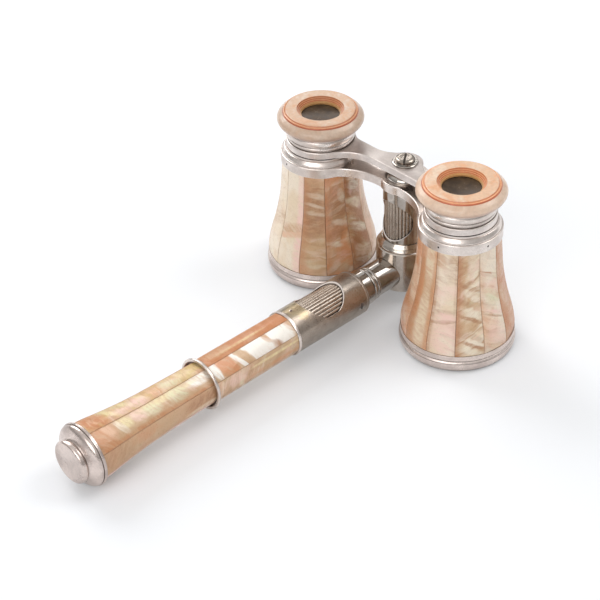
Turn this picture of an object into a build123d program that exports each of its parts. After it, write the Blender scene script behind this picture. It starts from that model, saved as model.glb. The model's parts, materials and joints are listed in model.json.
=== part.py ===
from build123d import *
from math import cos, pi, radians, sin, sqrt
import os

# Opera glasses with a telescoping handle.  All sizes in mm.
# Frame: +Z runs along the optical axes towards the eyes, +X to the user's right,
# -Y down the handle.  Origin on the table under the middle of the whole object, which
# stands on its objective rims with the handle lying on the table.

# ---------------------------------------------------------------- clearances
run_gap = 0.06            # radial gap of every turning or sliding fit
free_gap = 0.3            # gap between pieces that must never touch
end_gap = 0.2             # lengthwise gap beside a turning piece
seam_gap = 0.2            # open joint between two neighbouring pearl strips

# ------------------------------------------------------------------- barrels
barrel_spacing = 62.0     # distance between the optical axes
rim_height = 5.9          # objective rim, table to pearl
rim_proud = 0.45          # objective rim standing out beyond the pearl
rim_floor = 2.5           # height of the ledge the objective lens lies on
foot_radius = 18.4        # pearl at its wide foot
neck_radius = 13.0        # pearl at its narrow top
pearl_length = 35.6
barrel_strips = 12        # pearl strips round one barrel
barrel_seam_turn = 10.0   # direction of the first seam on the right barrel
pearl_thick = 0.9
shell_wall = 0.6
# share of the length (from the foot) and share of the flare, foot = 1, top = 0
flare = [(0.0, 0.99), (0.045, 1.0), (0.124, 0.944), (0.2275, 0.796), (0.3455, 0.574),
         (0.5506, 0.278), (0.677, 0.157), (0.8455, 0.065), (1.0, 0.0)]
lens_edge = 1.6           # thickness of the objective lens at its edge
lens_bulge_front = 0.9
lens_bulge_back = 1.5
lens_land = 1.0           # flat ring left round each lens face
retainer_height = 1.4

# ------------------------------------------------------- bridges and eyepieces
ring_height = 3.5         # bridge rings clamped round the barrel tops
ring_wall = 1.3
arm_thick = 3.0           # lower bridge plate
arm_hollow = 0.6          # radius of its hollow front corners, share of the half spacing
arm_boss = 1.1            # its boss standing out beyond the post
arm_boss_front = 0.85     # front edge of the arms behind the front of the boss
arm_boss_back = 1.5       # back edge of the arms behind the post axis
arm_ring_corner = 8.0     # hollow corners at the back, at the rings
arm_boss_corner = 4.0     # and at the boss
arm_pin_radius = 0.35     # tiny pin holes in front of the bridge rings
arm_pin_height = 1.3      # above the underside of the bridge
arm_pin_turns = (-78, -8.5)    # their directions on the right ring, mirrored on the left
guide_height = 2.4        # visible part of the draw-tube guides
guide_depth = 7.0         # hidden part, down inside the barrel
plate_thick = 2.3         # upper bridge plate
plate_ring = 0.9          # its rings standing out beyond the draw tubes
plate_boss_radius = 5.9
plate_hollow = 0.45       # radius of its hollow front corners, share of the half spacing
plate_back_inset = 0.4    # back edge of the arms in front of the post axis
plate_ring_corner = 6.0
plate_boss_corner = 10.0
edge_break = 0.4          # rounding of the bridges' upper edges
guide_wall = 0.84         # wall of the guide between barrel shell and draw tube
draw_wall = 0.6
draw_spare = 9.0          # draw tube left below its guide when fully drawn out
tube_lip = 2.8            # draw tube standing above the upper plate
ocular_height = 4.5       # stepped ring under the eyecup
eyecup_height = 5.8
eyecup_root = 1.2         # foot of the eyecup, outside the draw tube
eyecup_belly = 2.5        # widest belly, outside the foot
eyecup_roll = 3.2         # belly to the outer edge of the flat face
eyecup_spigot = 1.2       # wall of the eyecup's spigot inside the draw tube
eyecup_lip = 2.5          # lip that holds the ocular lens
well_slope = 1.5          # stepped side of the well round the lens
well_depth = 1.8
well_steps = 4
ocular_edge = 1.8
ocular_hollow = 0.5       # hollow of each ocular lens face
ocular_ring_height = 1.2

# ------------------------------------------------------- post, drum and screw
post_offset = 7.5         # post axis behind the line of the barrels
post_radius = 7.1
post_wall = 0.45
flutes = 34               # ribs round each drum
flute_radius = 0.4
hub_step = 2.15           # hub standing out beyond the post
hub_lip = 0.4             # hub wall left below the neck
hub_height = 14.8         # straight part of the hub
hub_cone = 2.7            # sloping shoulder above it
hub_wall = 1.9
plug_thick = 1.0
rod_radius = 2.2
rod_travel = 9.0          # focusing travel of the eyepieces
rod_engaged = 4.8         # thread still in the drum at full travel
rod_room = 0.8            # bore of the drum below the rod
window_half_angle = 64.0  # half the width of the oval windows, seen from the axis
window_sill = 0.9         # post left below its window
window_head = 4.5         # post left above its window
drum_sink = 0.8           # drum running on below the window
drum_rise = 0.9           # drum running on above the window
window_bevel = 0.65       # share of the wall
cap_flange_radius = 6.3   # low domed cap round the rod, under the upper plate
cap_room = 0.4            # free height between that cap and the upper plate
screw_head_radius = 3.15
screw_head_height = 1.1
screw_shank = 1.25
screw_slot = 0.7
screw_slot_turn = 37.0
washer_radius = 4.2
washer_thick = 0.8
post_pin_radius = 1.5
post_pin_inset = 2.0      # pin below the lower bridge

# --------------------------------------------------------------------- gears
gear_inset = 1.25         # pitch circle of the two equal bevel gears, inside the neck
gear_teeth = 14
gear_face = 1.6
gear_addendum = 0.42
gear_dedendum = 0.6
tooth_half = 0.34         # half the tooth thickness on the pitch line
tooth_slope = 0.35

# -------------------------------------------------------------------- handle
# these lengths follow one another down the handle
neck_out_radius = 5.45
neck_length = 8.85        # hub bore to collar
neck_bore = 3.0
spigot_step = 0.7         # step down to the spigot that carries collar and ferrule
collar_length = 7.3
ferrule_radius = 7.5
ferrule_wall = 0.74
ferrule_solid = 5.9       # solid hub end of the ferrule
window_inset = 1.8
window_length = 16.2
ferrule_mouth = 6.7       # window to the end of the ferrule
joint_inset = 1.6         # window to the plug of the grip joint
joint_spigot = 3.7        # grip joint inside the upper grip tube
shaft_radius = 1.8
shaft_depth = 4.0         # shaft inside the finger drum
stub_radius = 2.5
ring_length = 1.1         # thin ring between ferrule and grip
grip_radius = 7.4         # upper pearl grip, at the thin ring
grip_flare = 0.2          # and wider by this at the mouth ring
grip_pearl = 0.7
grip_tube_wall = 0.45
grip_length = 34.0        # upper pearl, thin ring to mouth ring
mouth_length = 1.4
mouth_proud = 1.15        # bead of the mouth ring, outside the pearl
pocket_depth = 1.0        # lower grip sunk in the mouth ring
handle_strips = 8
handle_seam_turn = 18.0
lower_inset = 0.1         # lower pearl at its top, inside the upper pearl
lower_foot_radius = 9.95
lower_pearl = 0.6
lower_length = 45.6
# share of the length and share of the flare, top = 0, foot = 1
lower_flare = [(0.0, 0.0), (0.15, 0.04), (0.31, 0.11), (0.45, 0.18), (0.575, 0.28),
               (0.7, 0.46), (0.835, 0.71), (0.92, 0.89), (1.0, 1.0)]
extension_wall = 0.6
extension_inset = 1.5     # grip joint to the inner end of the extension tube
cap_proud = 0.45          # flange of the end cap, outside the pearl
cap_height = 4.3          # flange and shoulder, up to the button
cap_spigot_length = 8.0
button_shoulder = 3.3     # button edge, inside the flange
button_height = 2.1
button_spigot = 3.0
button_depth = 2.0
set_screw_inset = 2.1     # from the inner end of the solid part
set_screw_radius = 1.25
ferrule_pin_inset = 2.4   # from the end of the ferrule
ferrule_pin_radius = 0.55

# ------------------------------------------------- derived radii and heights
half_spacing = barrel_spacing / 2
rim_radius = foot_radius + rim_proud
pearl_top = rim_height + pearl_length
ring_top = pearl_top + ring_height
guide_top = ring_top + guide_height
guide_foot = ring_top - guide_depth
plate_bottom = guide_top + end_gap
plate_top = plate_bottom + plate_thick
ocular_top = plate_top + ocular_height
eyecup_top = ocular_top + eyecup_height
arm_bottom = ring_top - arm_thick
shell_foot = foot_radius - (foot_radius - neck_radius) * (1 - flare[0][1]) - pearl_thick
shell_foot_bore = shell_foot - shell_wall
shell_neck = neck_radius - pearl_thick
shell_neck_bore = shell_neck - shell_wall
ring_radius = shell_neck + ring_wall
draw_radius = shell_neck_bore - guide_wall - run_gap
ocular_radius = draw_radius - draw_wall - eyecup_spigot
cup_root = draw_radius + eyecup_root
eyecup_radius = cup_root + eyecup_belly
eyecup_face = eyecup_radius - eyecup_roll
eyecup_hole = ocular_radius - eyecup_lip
eyecup_well = eyecup_hole + well_slope
end_cap_radius = lower_foot_radius + cap_proud
handle_height = end_cap_radius       # the end cap lies on the table
hub_radius = post_radius + hub_step
hub_bottom = handle_height - neck_out_radius - hub_lip
hub_top = hub_bottom + hub_height
hub_shoulder = hub_top + hub_cone
housing_foot = hub_top - 0.4
hub_bore = hub_radius - hub_wall
gear_pitch = neck_out_radius - gear_inset
post_bore = post_radius - post_wall
drum_radius = post_bore - run_gap
post_window_low = hub_shoulder + window_sill
post_window_high = arm_bottom - window_head
drum_low = post_window_low - drum_sink
drum_high = post_window_high + drum_rise
rod_bore = rod_radius + run_gap
rod_foot = drum_high - rod_travel - rod_engaged
cap_top = plate_bottom - cap_room
cap_seat = cap_top - 1.0
ferrule_bore = ferrule_radius - ferrule_wall
handle_drum_radius = ferrule_bore - run_gap
grip_tube_radius = grip_radius - grip_pearl
grip_tube_bore = grip_tube_radius - grip_tube_wall
extension_radius = grip_tube_bore - run_gap
grip_mouth_radius = grip_radius + grip_flare
mouth_radius = grip_mouth_radius + mouth_proud
lower_top_radius = grip_radius - lower_inset
button_radius = end_cap_radius - button_shoulder

# -------------------------- distances down the handle, from the post axis
neck_start = hub_bore + 0.1
neck_end = neck_start + neck_length
collar_end = neck_end + collar_length
spigot_radius = neck_out_radius - spigot_step
ferrule_wall_end = collar_end + ferrule_solid
window_start = ferrule_wall_end + window_inset
window_end = window_start + window_length
joint_start = window_end + joint_inset
ferrule_end = window_end + ferrule_mouth
ring_end = ferrule_end + ring_length
grip_end = ring_end + grip_length
mouth_end = grip_end + mouth_length
tube_end = mouth_end - pocket_depth
lower_start = tube_end + free_gap
lower_end = lower_start + lower_length
button_root = lower_end + cap_height
handle_end = button_root + button_height
extension_start = ring_end + joint_spigot + extension_inset
set_screw_at = ferrule_wall_end - set_screw_inset
ferrule_pin_at = ferrule_end - ferrule_pin_inset

parts = {}
os.makedirs("parts", exist_ok=True)


# ------------------------------------------------------------------- helpers
def turned(*runs, arc=360.0):
    """Revolve a closed outline of (radius, height) points about Z.
    A run is a list of points (straight) or a tuple of points (smooth curve)."""
    edges = []
    last = first = None
    for run in runs:
        pts = [Vector(r, 0, h) for r, h in run]
        if last is not None and (pts[0] - last).length > 1e-6:
            edges.append(Edge.make_line(last, pts[0]))
        if isinstance(run, tuple):
            edges.append(Edge.make_spline(pts))
        else:
            edges += [Edge.make_line(a, b) for a, b in zip(pts, pts[1:])]
        first = first or pts[0]
        last = pts[-1]
    if (last - first).length > 1e-6:
        edges.append(Edge.make_line(last, first))
    return revolve(Face(Wire(edges)), axis=Axis.Z, revolution_arc=arc)


def rod(radius, low, high):
    return Pos(0, 0, low) * Cylinder(radius, high - low, align=(Align.CENTER, Align.CENTER, Align.MIN))


def tube(outer, inner, low, high):
    return rod(outer, low, high) - rod(inner, low - 1, high + 1)


def flare_curve(offset):
    span = foot_radius - neck_radius
    return tuple((neck_radius + span * s - offset, rim_height + pearl_length * t) for t, s in flare)


def lower_curve(offset):
    span = lower_foot_radius - lower_top_radius
    return tuple((lower_top_radius + span * s - offset, lower_start + lower_length * t)
                 for t, s in lower_flare)


def bulge(radius, land, edge_height, rise, steps=7):
    """Points of a spherical cap, from its flat land in to the axis."""
    rim = radius - land
    sphere = (rim * rim + rise * rise) / (2 * abs(rise))
    sign = 1 if rise > 0 else -1
    out = []
    for i in range(steps):
        r = rim * (1 - i / (steps - 1))
        out.append((r, edge_height + sign * (sqrt(sphere * sphere - r * r) - (sphere - abs(rise)))))
    return tuple(out)


def strips(count, first_seam, radius, outline):
    """Pearl strips: one strip turned through its share of the circle, then repeated."""
    gap = seam_gap / radius * 180 / pi
    strip = turned(*outline, arc=360.0 / count - gap)
    return [Rot(0, 0, first_seam + gap / 2 + i * 360.0 / count) * strip for i in range(count)]


def fluted(radius, low, high):
    body = rod(radius, low, high)
    cutter = Pos(radius + flute_radius * 0.25, 0, 0) * rod(flute_radius, low - 1, high + 1)
    return body - [Rot(0, 0, i * 360.0 / flutes) * cutter for i in range(flutes)]


def at_left(piece):
    return Pos(-half_spacing, 0, 0) * piece


def at_right(piece):
    return Pos(half_spacing, 0, 0) * piece


def at_post(piece):
    return Pos(0, post_offset, 0) * piece


def on_handle(piece):
    # own +Z runs down the handle, own +Y points up
    return Pos(0, post_offset, handle_height) * Rot(90, 0, 0) * piece


def both(name, piece):
    parts[name + "_left"] = at_left(piece)
    parts[name + "_right"] = at_right(piece)


def bevel_gear(bore, back, half_step):
    """Bevel gear with its cone point at the origin, axis +Z, a tooth (or a gap) towards +Y."""
    root = gear_dedendum / sqrt(2)
    far = gear_pitch * sqrt(2)
    near = far - gear_face
    small = near / far
    r1, z1 = gear_pitch - root, gear_pitch + root
    body = turned([(bore, z1 * small), (r1 * small, z1 * small), (r1, z1), (r1, back), (bore, back)])
    teeth = []
    for i in range(gear_teeth):
        wires = []
        for k in (small, 1.0):
            pts = []
            for n, w in ((gear_addendum, -1), (gear_addendum, 1), (-gear_dedendum - 0.15, 1),
                         (-gear_dedendum - 0.15, -1)):
                half = (tooth_half - n * tooth_slope) * w
                pts.append(Vector((gear_pitch + n / sqrt(2)) * k, half * k,
                                  (gear_pitch - n / sqrt(2)) * k))
            wires.append(Wire.make_polygon(pts, close=True))
        tooth = Solid.make_loft(wires, ruled=True)
        turn = 90 + (i + (0.5 if half_step else 0)) * 360.0 / gear_teeth
        teeth.append(Rot(0, 0, turn) * tooth)
    return body + teeth


def window_cut(radius, low, high):
    """Oval cutter facing own +Y, with a bevelled mouth."""
    half = radius * sin(radians(window_half_angle))
    depth = radius * cos(radians(window_half_angle))
    mid, length = (low + high) / 2, high - low
    plane = Plane(origin=(0, depth - 1.2, mid), x_dir=(0, 0, 1), z_dir=(0, 1, 0))
    return extrude(plane * SlotOverall(length, 2 * half), radius * 2)


def bevelled(piece, radius, wall, low, high):
    """Break the outer edge of an oval window."""
    rim = [e for e in piece.edges()
           if e.bounding_box().max.Z < high + 0.5 and e.bounding_box().min.Z > low - 0.5
           and abs((e @ 0.5).X ** 2 + (e @ 0.5).Y ** 2 - radius ** 2) < 0.05
           and abs((e @ 0.1).X ** 2 + (e @ 0.1).Y ** 2 - radius ** 2) < 0.05]
    return chamfer(rim, window_bevel * wall)


# ------------------------------------------------------------------- barrels
lens_radius = shell_foot_bore
lens_top = rim_floor + lens_edge
retainer_top = lens_top + retainer_height
both("objective_rim", turned(
    [(lens_radius - lens_land + 1.0, 0), (rim_radius - 0.9, 0)],
    ((rim_radius - 0.9, 0), (rim_radius - 0.35, 0.75), (rim_radius, 2.1), (rim_radius - 0.12, 3.2),
     (rim_radius - 0.6, 3.8)),
    [(rim_radius - 0.6, 4.1), (rim_radius - 0.35, 4.2), (rim_radius - 0.35, rim_height),
     (shell_foot, rim_height), (shell_foot, rim_floor), (lens_radius - lens_land, rim_floor),
     (lens_radius - lens_land, 1.0)]))
both("barrel_shell", turned(
    [(shell_foot_bore, rim_floor), (shell_foot, rim_floor), (shell_foot, rim_height)],
    flare_curve(pearl_thick),
    [(shell_neck, ring_top), (shell_neck_bore, ring_top), (shell_neck_bore, pearl_top)],
    tuple(reversed(flare_curve(pearl_thick + shell_wall)))))
both("objective_lens", turned(
    [(0, rim_floor - lens_bulge_front), (0, lens_top + lens_bulge_back)],
    tuple(reversed(bulge(lens_radius, lens_land, lens_top, lens_bulge_back))),
    [(lens_radius, lens_top), (lens_radius, rim_floor)],
    bulge(lens_radius, lens_land, rim_floor, -lens_bulge_front)))
both("objective_retainer", turned(
    [(lens_radius - lens_land, lens_top), (shell_foot_bore, lens_top), (shell_foot_bore, retainer_top),
     (lens_radius - 0.6, retainer_top)]))
outline = [flare_curve(0), [(neck_radius, pearl_top), (shell_neck, pearl_top)],
           tuple(reversed(flare_curve(pearl_thick)))]
parts["pearl_right"] = [at_right(strip) for strip in strips(
    barrel_strips, barrel_seam_turn, foot_radius, outline)]
parts["pearl_left"] = [at_left(strip) for strip in strips(
    barrel_strips, 180 - barrel_seam_turn, foot_radius, outline)]

# ------------------------------------------------ lower bridge and guides
neck_hole = post_radius - 2.8


def bridge(ring, boss, front, back, hollow, ring_corner, boss_corner):
    """Plan of a bridge: two rings and a boss joined by arms with hollow corners."""
    boss_place = Pos(0, post_offset)
    hollow_x = half_spacing - sqrt((ring + hollow) ** 2 - (front - hollow) ** 2)
    ring_x = half_spacing - sqrt((ring + ring_corner) ** 2 - (back + ring_corner) ** 2)
    boss_x = sqrt((boss + boss_corner) ** 2 - (back + boss_corner - post_offset) ** 2)
    half = [(half_spacing, 0), (ring_x, back + ring_corner), (ring_x, back), (boss_x, back),
            (boss_x, back + boss_corner)]
    edge = [(hollow_x, front), (hollow_x, front - hollow)] + half + [(0, post_offset)]
    edge += [(-x, y) for x, y in reversed(edge[:-1])]
    plan = make_face(Polyline(*edge, close=True))
    for side in (-1, 1):
        plan -= Pos(side * hollow_x, front - hollow) * Circle(hollow)
        plan -= Pos(side * ring_x, back + ring_corner) * Circle(ring_corner)
        plan -= Pos(side * boss_x, back + boss_corner) * Circle(boss_corner)
    plan += Pos(-half_spacing, 0) * Circle(ring)
    plan += Pos(half_spacing, 0) * Circle(ring)
    return plan + boss_place * Circle(boss)


def bridge_plate(plan, low, high):
    """A bridge with its upper edges rounded."""
    plate = extrude(Pos(0, 0, low) * plan, high - low)
    return fillet(plate.faces().sort_by(Axis.Z)[-1].edges(), edge_break)


arm_boss_radius = post_radius + arm_boss
arm_plan = bridge(ring_radius, arm_boss_radius, post_offset - arm_boss_radius + arm_boss_front,
                  post_offset + arm_boss_back, arm_hollow * half_spacing, arm_ring_corner, arm_boss_corner)
ring_skirt = rod(ring_radius, pearl_top, arm_bottom)
low_plate = bridge_plate(arm_plan, arm_bottom, ring_top)
low_plate += [at_left(ring_skirt), at_right(ring_skirt)]
low_plate -= [at_left(rod(shell_neck, 0, 99)), at_right(rod(shell_neck, 0, 99))]
for turn in arm_pin_turns:
    pin_hole = Rot(0, 90, 0) * Cylinder(arm_pin_radius, 1.0)
    pin_hole = Rot(0, 0, turn) * Pos(ring_radius, 0, arm_bottom + arm_pin_height) * pin_hole
    low_plate -= [at_right(pin_hole), at_left(mirror(pin_hole, Plane.YZ))]
parts["lower_bridge"] = low_plate - at_post(rod(neck_hole, 0, 99))

draw_bore = draw_radius + run_gap
guide_foot_radius = ring_radius - 0.1 - edge_break
guide_neck_radius = shell_neck_bore + 0.35
guide_shoulder = ring_top + 1.65
both("tube_guide", turned(
    [(draw_bore, guide_foot), (shell_neck_bore, guide_foot),
     (shell_neck_bore, ring_top), (guide_foot_radius, ring_top)],
    ((guide_foot_radius, ring_top), (guide_foot_radius - 0.15, ring_top + 0.6),
     (guide_foot_radius - 0.55, ring_top + 1.2), (guide_neck_radius + 0.25, guide_shoulder)),
    [(guide_neck_radius, guide_shoulder + 0.1), (guide_neck_radius, guide_top - 0.05),
     (guide_neck_radius - 0.05, guide_top), (draw_bore, guide_top)]))

# ------------------------------------------------ upper bridge and eyepieces
tube_top = plate_top + tube_lip
draw_foot = guide_foot - rod_travel - draw_spare
both("draw_tube", tube(draw_radius, draw_radius - draw_wall, draw_foot, tube_top))
plate_plan = bridge(draw_radius + plate_ring, plate_boss_radius, post_offset - plate_boss_radius,
                    post_offset - plate_back_inset, plate_hollow * half_spacing, plate_ring_corner,
                    plate_boss_corner)
top_plate = bridge_plate(plate_plan, plate_bottom, plate_top)
top_plate -= at_left(rod(draw_radius, 0, 99)) + at_right(rod(draw_radius, 0, 99))
parts["upper_bridge"] = top_plate - at_post(rod(screw_shank, 0, 99))

both("ocular_ring", turned(
    [(draw_radius, plate_top), (draw_radius + 0.3, plate_top), (draw_radius + 0.3, plate_top + 0.4)],
    ((draw_radius + 0.3, plate_top + 0.4), (draw_radius + 0.55, plate_top + 0.6),
     (draw_radius + 0.55, plate_top + 1.15), (draw_radius + 0.3, plate_top + 1.4)),
    [(draw_radius + 0.25, plate_top + 1.65)],
    ((draw_radius + 0.25, plate_top + 1.65), (draw_radius + 0.7, plate_top + 1.85),
     (draw_radius + 0.85, plate_top + 2.4), (draw_radius + 0.8, plate_top + 3.2),
     (draw_radius + 0.5, plate_top + 3.75)),
    [(cup_root - 0.4, ocular_top - 0.55), (cup_root, ocular_top - 0.3), (cup_root, ocular_top),
     (draw_radius - draw_wall, ocular_top), (draw_radius - draw_wall, tube_top),
     (draw_radius, tube_top)]))
spigot_low = tube_top - 1.6
well_floor = eyecup_top - well_depth
lens_seat = well_floor - 0.6
well_side = []
for i in range(well_steps):
    step_radius = eyecup_well - well_slope * i / well_steps
    step_height = eyecup_top - well_depth * i / well_steps
    well_side += [(step_radius, step_height), (step_radius - 0.15, step_height - well_depth / well_steps)]
both("eyecup", turned(
    [(draw_radius - draw_wall, spigot_low), (draw_radius - draw_wall, ocular_top), (cup_root, ocular_top)],
    ((cup_root, ocular_top), (cup_root + 1.3, ocular_top + 0.75), (eyecup_radius - 0.25, ocular_top + 1.8),
     (eyecup_radius, ocular_top + 2.65), (eyecup_radius - 0.3, ocular_top + 3.6),
     (eyecup_radius - 1.0, eyecup_top - 1.5), (eyecup_radius - 1.7, eyecup_top - 0.95)),
    [(eyecup_radius - 1.95, eyecup_top - 0.95), (eyecup_radius - 1.95, eyecup_top - 0.8)],
    ((eyecup_radius - 1.95, eyecup_top - 0.8), (eyecup_radius - 2.1, eyecup_top - 0.5),
     (eyecup_radius - 2.45, eyecup_top - 0.35)),
    [(eyecup_radius - 2.6, eyecup_top - 0.45), (eyecup_radius - 2.7, eyecup_top - 0.35)],
    ((eyecup_radius - 2.7, eyecup_top - 0.35), (eyecup_radius - 2.85, eyecup_top - 0.12),
     (eyecup_face, eyecup_top)),
    well_side,
    [(eyecup_hole, well_floor), (eyecup_hole, lens_seat), (ocular_radius, lens_seat),
     (ocular_radius, spigot_low)]))
seat_low = lens_seat - ocular_edge
both("ocular_lens", turned(
    [(0, seat_low + ocular_hollow), (0, lens_seat - ocular_hollow)],
    tuple(reversed(bulge(ocular_radius, 1.2, lens_seat, -ocular_hollow))),
    [(ocular_radius, lens_seat), (ocular_radius, seat_low)],
    bulge(ocular_radius, 1.2, seat_low, ocular_hollow)))
both("lens_ring", tube(ocular_radius, ocular_radius - 1.2, seat_low - ocular_ring_height, seat_low))

# ------------------------------------------------------ screw, rod and drum
rod_hole_depth = 6.0
washer_top = plate_top + washer_thick
focus_rod = rod(rod_radius, rod_foot, plate_bottom)
focus_rod -= rod(screw_shank, plate_bottom - rod_hole_depth, plate_bottom + 1)
parts["focus_rod"] = at_post(focus_rod)
parts["bridge_washer"] = at_post(turned(
    [(screw_shank, plate_top), (washer_radius, plate_top), (washer_radius, plate_top + washer_thick * 0.4),
     (washer_radius - 0.25, plate_top + washer_thick * 0.55),
     (washer_radius - 0.55, plate_top + washer_thick * 0.55),
     (washer_radius - 0.7, washer_top), (screw_shank, washer_top)]))
head_top = washer_top + screw_head_height
bridge_screw = turned(
    [(0, plate_bottom - rod_hole_depth + 0.5), (screw_shank, plate_bottom - rod_hole_depth + 0.5),
     (screw_shank, washer_top), (screw_head_radius, washer_top),
     (screw_head_radius, head_top - 0.45)],
    ((screw_head_radius, head_top - 0.45), (screw_head_radius - 0.3, head_top - 0.2),
     (screw_head_radius * 0.5, head_top - 0.03), (0, head_top)))
bridge_screw -= Rot(0, 0, screw_slot_turn) * Pos(0, 0, head_top) * Box(screw_slot, 9, 1.3)
parts["bridge_screw"] = at_post(bridge_screw)

guide_low = drum_high + end_gap
pin_place = Pos(0, -post_radius, arm_bottom - post_pin_inset) * Rot(90, 0, 0)
pin_head = pin_place * Cylinder(post_pin_radius, 6)
pin_tail = pin_place * Cylinder(post_pin_radius - 0.5, 2 * (post_radius - 4.2))
parts["rod_guide"] = at_post(turned(
    [(rod_bore, guide_low), (post_bore, guide_low), (post_bore, arm_bottom), (neck_hole, arm_bottom),
     (neck_hole, ring_top), (neck_hole - 1.0, ring_top), (neck_hole - 1.0, cap_seat),
     (rod_bore, cap_seat)])
    - pin_tail)
parts["post_cap"] = at_post(turned(
    [(neck_hole - 1.0, ring_top), (cap_flange_radius, ring_top)],
    ((cap_flange_radius, ring_top + 0.4), (cap_flange_radius - 0.4, ring_top + 1.2),
     (cap_flange_radius - 1.3, cap_top - 0.3),
     (cap_flange_radius - 2.3, cap_top)),
    [(rod_bore, cap_top), (rod_bore, cap_seat), (neck_hole - 1.0, cap_seat)]))

drum_gear_top = handle_height + gear_pitch + gear_dedendum / sqrt(2) + 1.4
drum = fluted(drum_radius, drum_low, drum_high)
drum += rod(stub_radius, handle_height + gear_pitch - 1.0, drum_low)
drum -= rod(rod_bore, rod_foot - rod_room, drum_high + 1)
parts["focus_drum"] = at_post(drum)
parts["crown_gear"] = Pos(0, post_offset, handle_height) * Rot(0, 0, 180) * bevel_gear(
    stub_radius, drum_gear_top - handle_height, False)

bush_low = housing_foot
parts["drum_bush"] = at_post(tube(post_bore, stub_radius + run_gap, bush_low, drum_low - end_gap))
housing = tube(post_radius, post_bore, housing_foot, arm_bottom)
housing = Rot(0, 0, 180) * (housing - window_cut(post_radius, post_window_low, post_window_high))
housing = bevelled(housing, post_radius, post_wall, post_window_low, post_window_high)
parts["post_housing"] = at_post(housing - pin_head)
pin_body = (pin_head & rod(post_radius, 0, 99)) - rod(post_bore, 0, 99)
parts["post_pin"] = at_post(pin_body + (pin_tail & rod(post_bore, 0, 99)))

# ----------------------------------------------------------------------- hub
hub = turned(
    [(hub_bore, hub_bottom), (hub_radius - 0.2, hub_bottom), (hub_radius, hub_bottom + 0.2),
     (hub_radius, hub_top - 0.3), (hub_radius - 0.3, hub_top), (hub_radius - 0.7, hub_top + 0.15),
     (hub_radius - 0.75, hub_top + 0.4), (hub_radius - 1.2, hub_top + 1.3),
     (hub_radius - 1.1, hub_top + 1.5), (hub_radius - 1.3, hub_top + 1.8),
     (post_radius + 0.3, hub_shoulder), (post_radius, hub_shoulder), (post_radius, housing_foot),
     (post_radius - 1.2, housing_foot), (post_radius - 1.2, housing_foot - 0.9),
     (hub_bore, housing_foot - 0.9)])
neck_cut = Pos(0, 0, handle_height) * Rot(90, 0, 0) * rod(neck_out_radius, 0, 20)
parts["hub"] = at_post(hub - neck_cut)
plug = rod(hub_bore, hub_bottom, hub_bottom + plug_thick) - Pos(0, 0, hub_bottom) * Box(1.0, 8, 0.9)
parts["hub_plug"] = at_post(plug)

# -------------------------------------------------------- neck and ferrule
side_screw = Rot(0, 90, 0) * Cylinder(set_screw_radius, 2 * (ferrule_radius - 3.7))
side_screw = Pos(ferrule_radius, 0, set_screw_at) * side_screw
neck = turned([(neck_bore, neck_start), (neck_out_radius, neck_start), (neck_out_radius, neck_end),
               (spigot_radius, neck_end), (spigot_radius, ferrule_wall_end), (neck_bore, ferrule_wall_end)])
parts["neck"] = on_handle(neck - side_screw)
parts["neck_collar"] = on_handle(turned(
    [(spigot_radius, neck_end), (neck_out_radius, neck_end)],
    ((neck_out_radius, neck_end), (neck_out_radius + 0.3, neck_end + 0.3),
     (neck_out_radius + 0.3, neck_end + 0.9), (neck_out_radius + 0.05, neck_end + 1.2)),
    ((neck_out_radius + 0.05, neck_end + 1.4), (neck_out_radius + 0.4, neck_end + 1.7),
     (neck_out_radius + 0.4, neck_end + 2.4), (neck_out_radius + 0.1, neck_end + 2.8)),
    [(neck_out_radius - 0.1, neck_end + 2.85), (neck_out_radius - 0.1, neck_end + 3.2),
     (neck_out_radius + 0.6, neck_end + 3.3), (neck_out_radius + 0.7, neck_end + 3.5),
     (neck_out_radius + 0.9, collar_end - 0.5), (neck_out_radius + 0.75, collar_end - 0.3),
     (neck_out_radius + 0.75, collar_end), (spigot_radius, collar_end)]))
ferrule = turned(
    [(spigot_radius, collar_end), (ferrule_radius - 0.7, collar_end)],
    ((ferrule_radius - 0.7, collar_end), (ferrule_radius - 0.2, collar_end + 0.1),
     (ferrule_radius, collar_end + 0.5)),
    [(ferrule_radius, collar_end + 0.9), (ferrule_radius - 0.12, collar_end + 1.0),
     (ferrule_radius - 0.12, collar_end + 1.15), (ferrule_radius, collar_end + 1.25),
     (ferrule_radius, ferrule_end), (ferrule_bore, ferrule_end), (ferrule_bore, ferrule_wall_end),
     (spigot_radius, ferrule_wall_end)])
ferrule -= window_cut(ferrule_radius, window_start, window_end)
ferrule = bevelled(ferrule, ferrule_radius, ferrule_wall, window_start, window_end)
top_pin = Rot(90, 0, 0) * Cylinder(ferrule_pin_radius, 2 * (ferrule_radius - 4.6))
top_pin = Pos(0, ferrule_radius, ferrule_pin_at) * top_pin
parts["ferrule"] = on_handle(ferrule - side_screw - top_pin)
set_screw = side_screw & rod(ferrule_radius, 0, 99)
set_screw -= Pos(ferrule_radius, 0, set_screw_at) * Box(1.2, 9, 0.5)
parts["set_screw"] = on_handle(set_screw)
parts["ferrule_pin"] = on_handle(top_pin & rod(ferrule_radius, 0, 99))
parts["neck_bush"] = on_handle(tube(neck_bore, shaft_radius + run_gap, neck_start, neck_start + 3.2))
parts["ferrule_bush"] = on_handle(tube(neck_bore, shaft_radius + run_gap, ferrule_wall_end - 3.6,
                                       ferrule_wall_end))
grip_joint = turned(
    [(0, joint_start), (ferrule_bore, joint_start), (ferrule_bore, ferrule_end),
     (grip_radius + 0.05, ferrule_end), (grip_radius + 0.25, ferrule_end + 0.25),
     (grip_radius + 0.25, ring_end - 0.25), (grip_radius + 0.05, ring_end),
     (grip_tube_bore, ring_end), (grip_tube_bore, ring_end + joint_spigot),
     (0, ring_end + joint_spigot)])
stub_end = ferrule_end - 0.8
grip_joint -= rod(stub_radius + run_gap, joint_start - 1, stub_end + end_gap)
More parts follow.
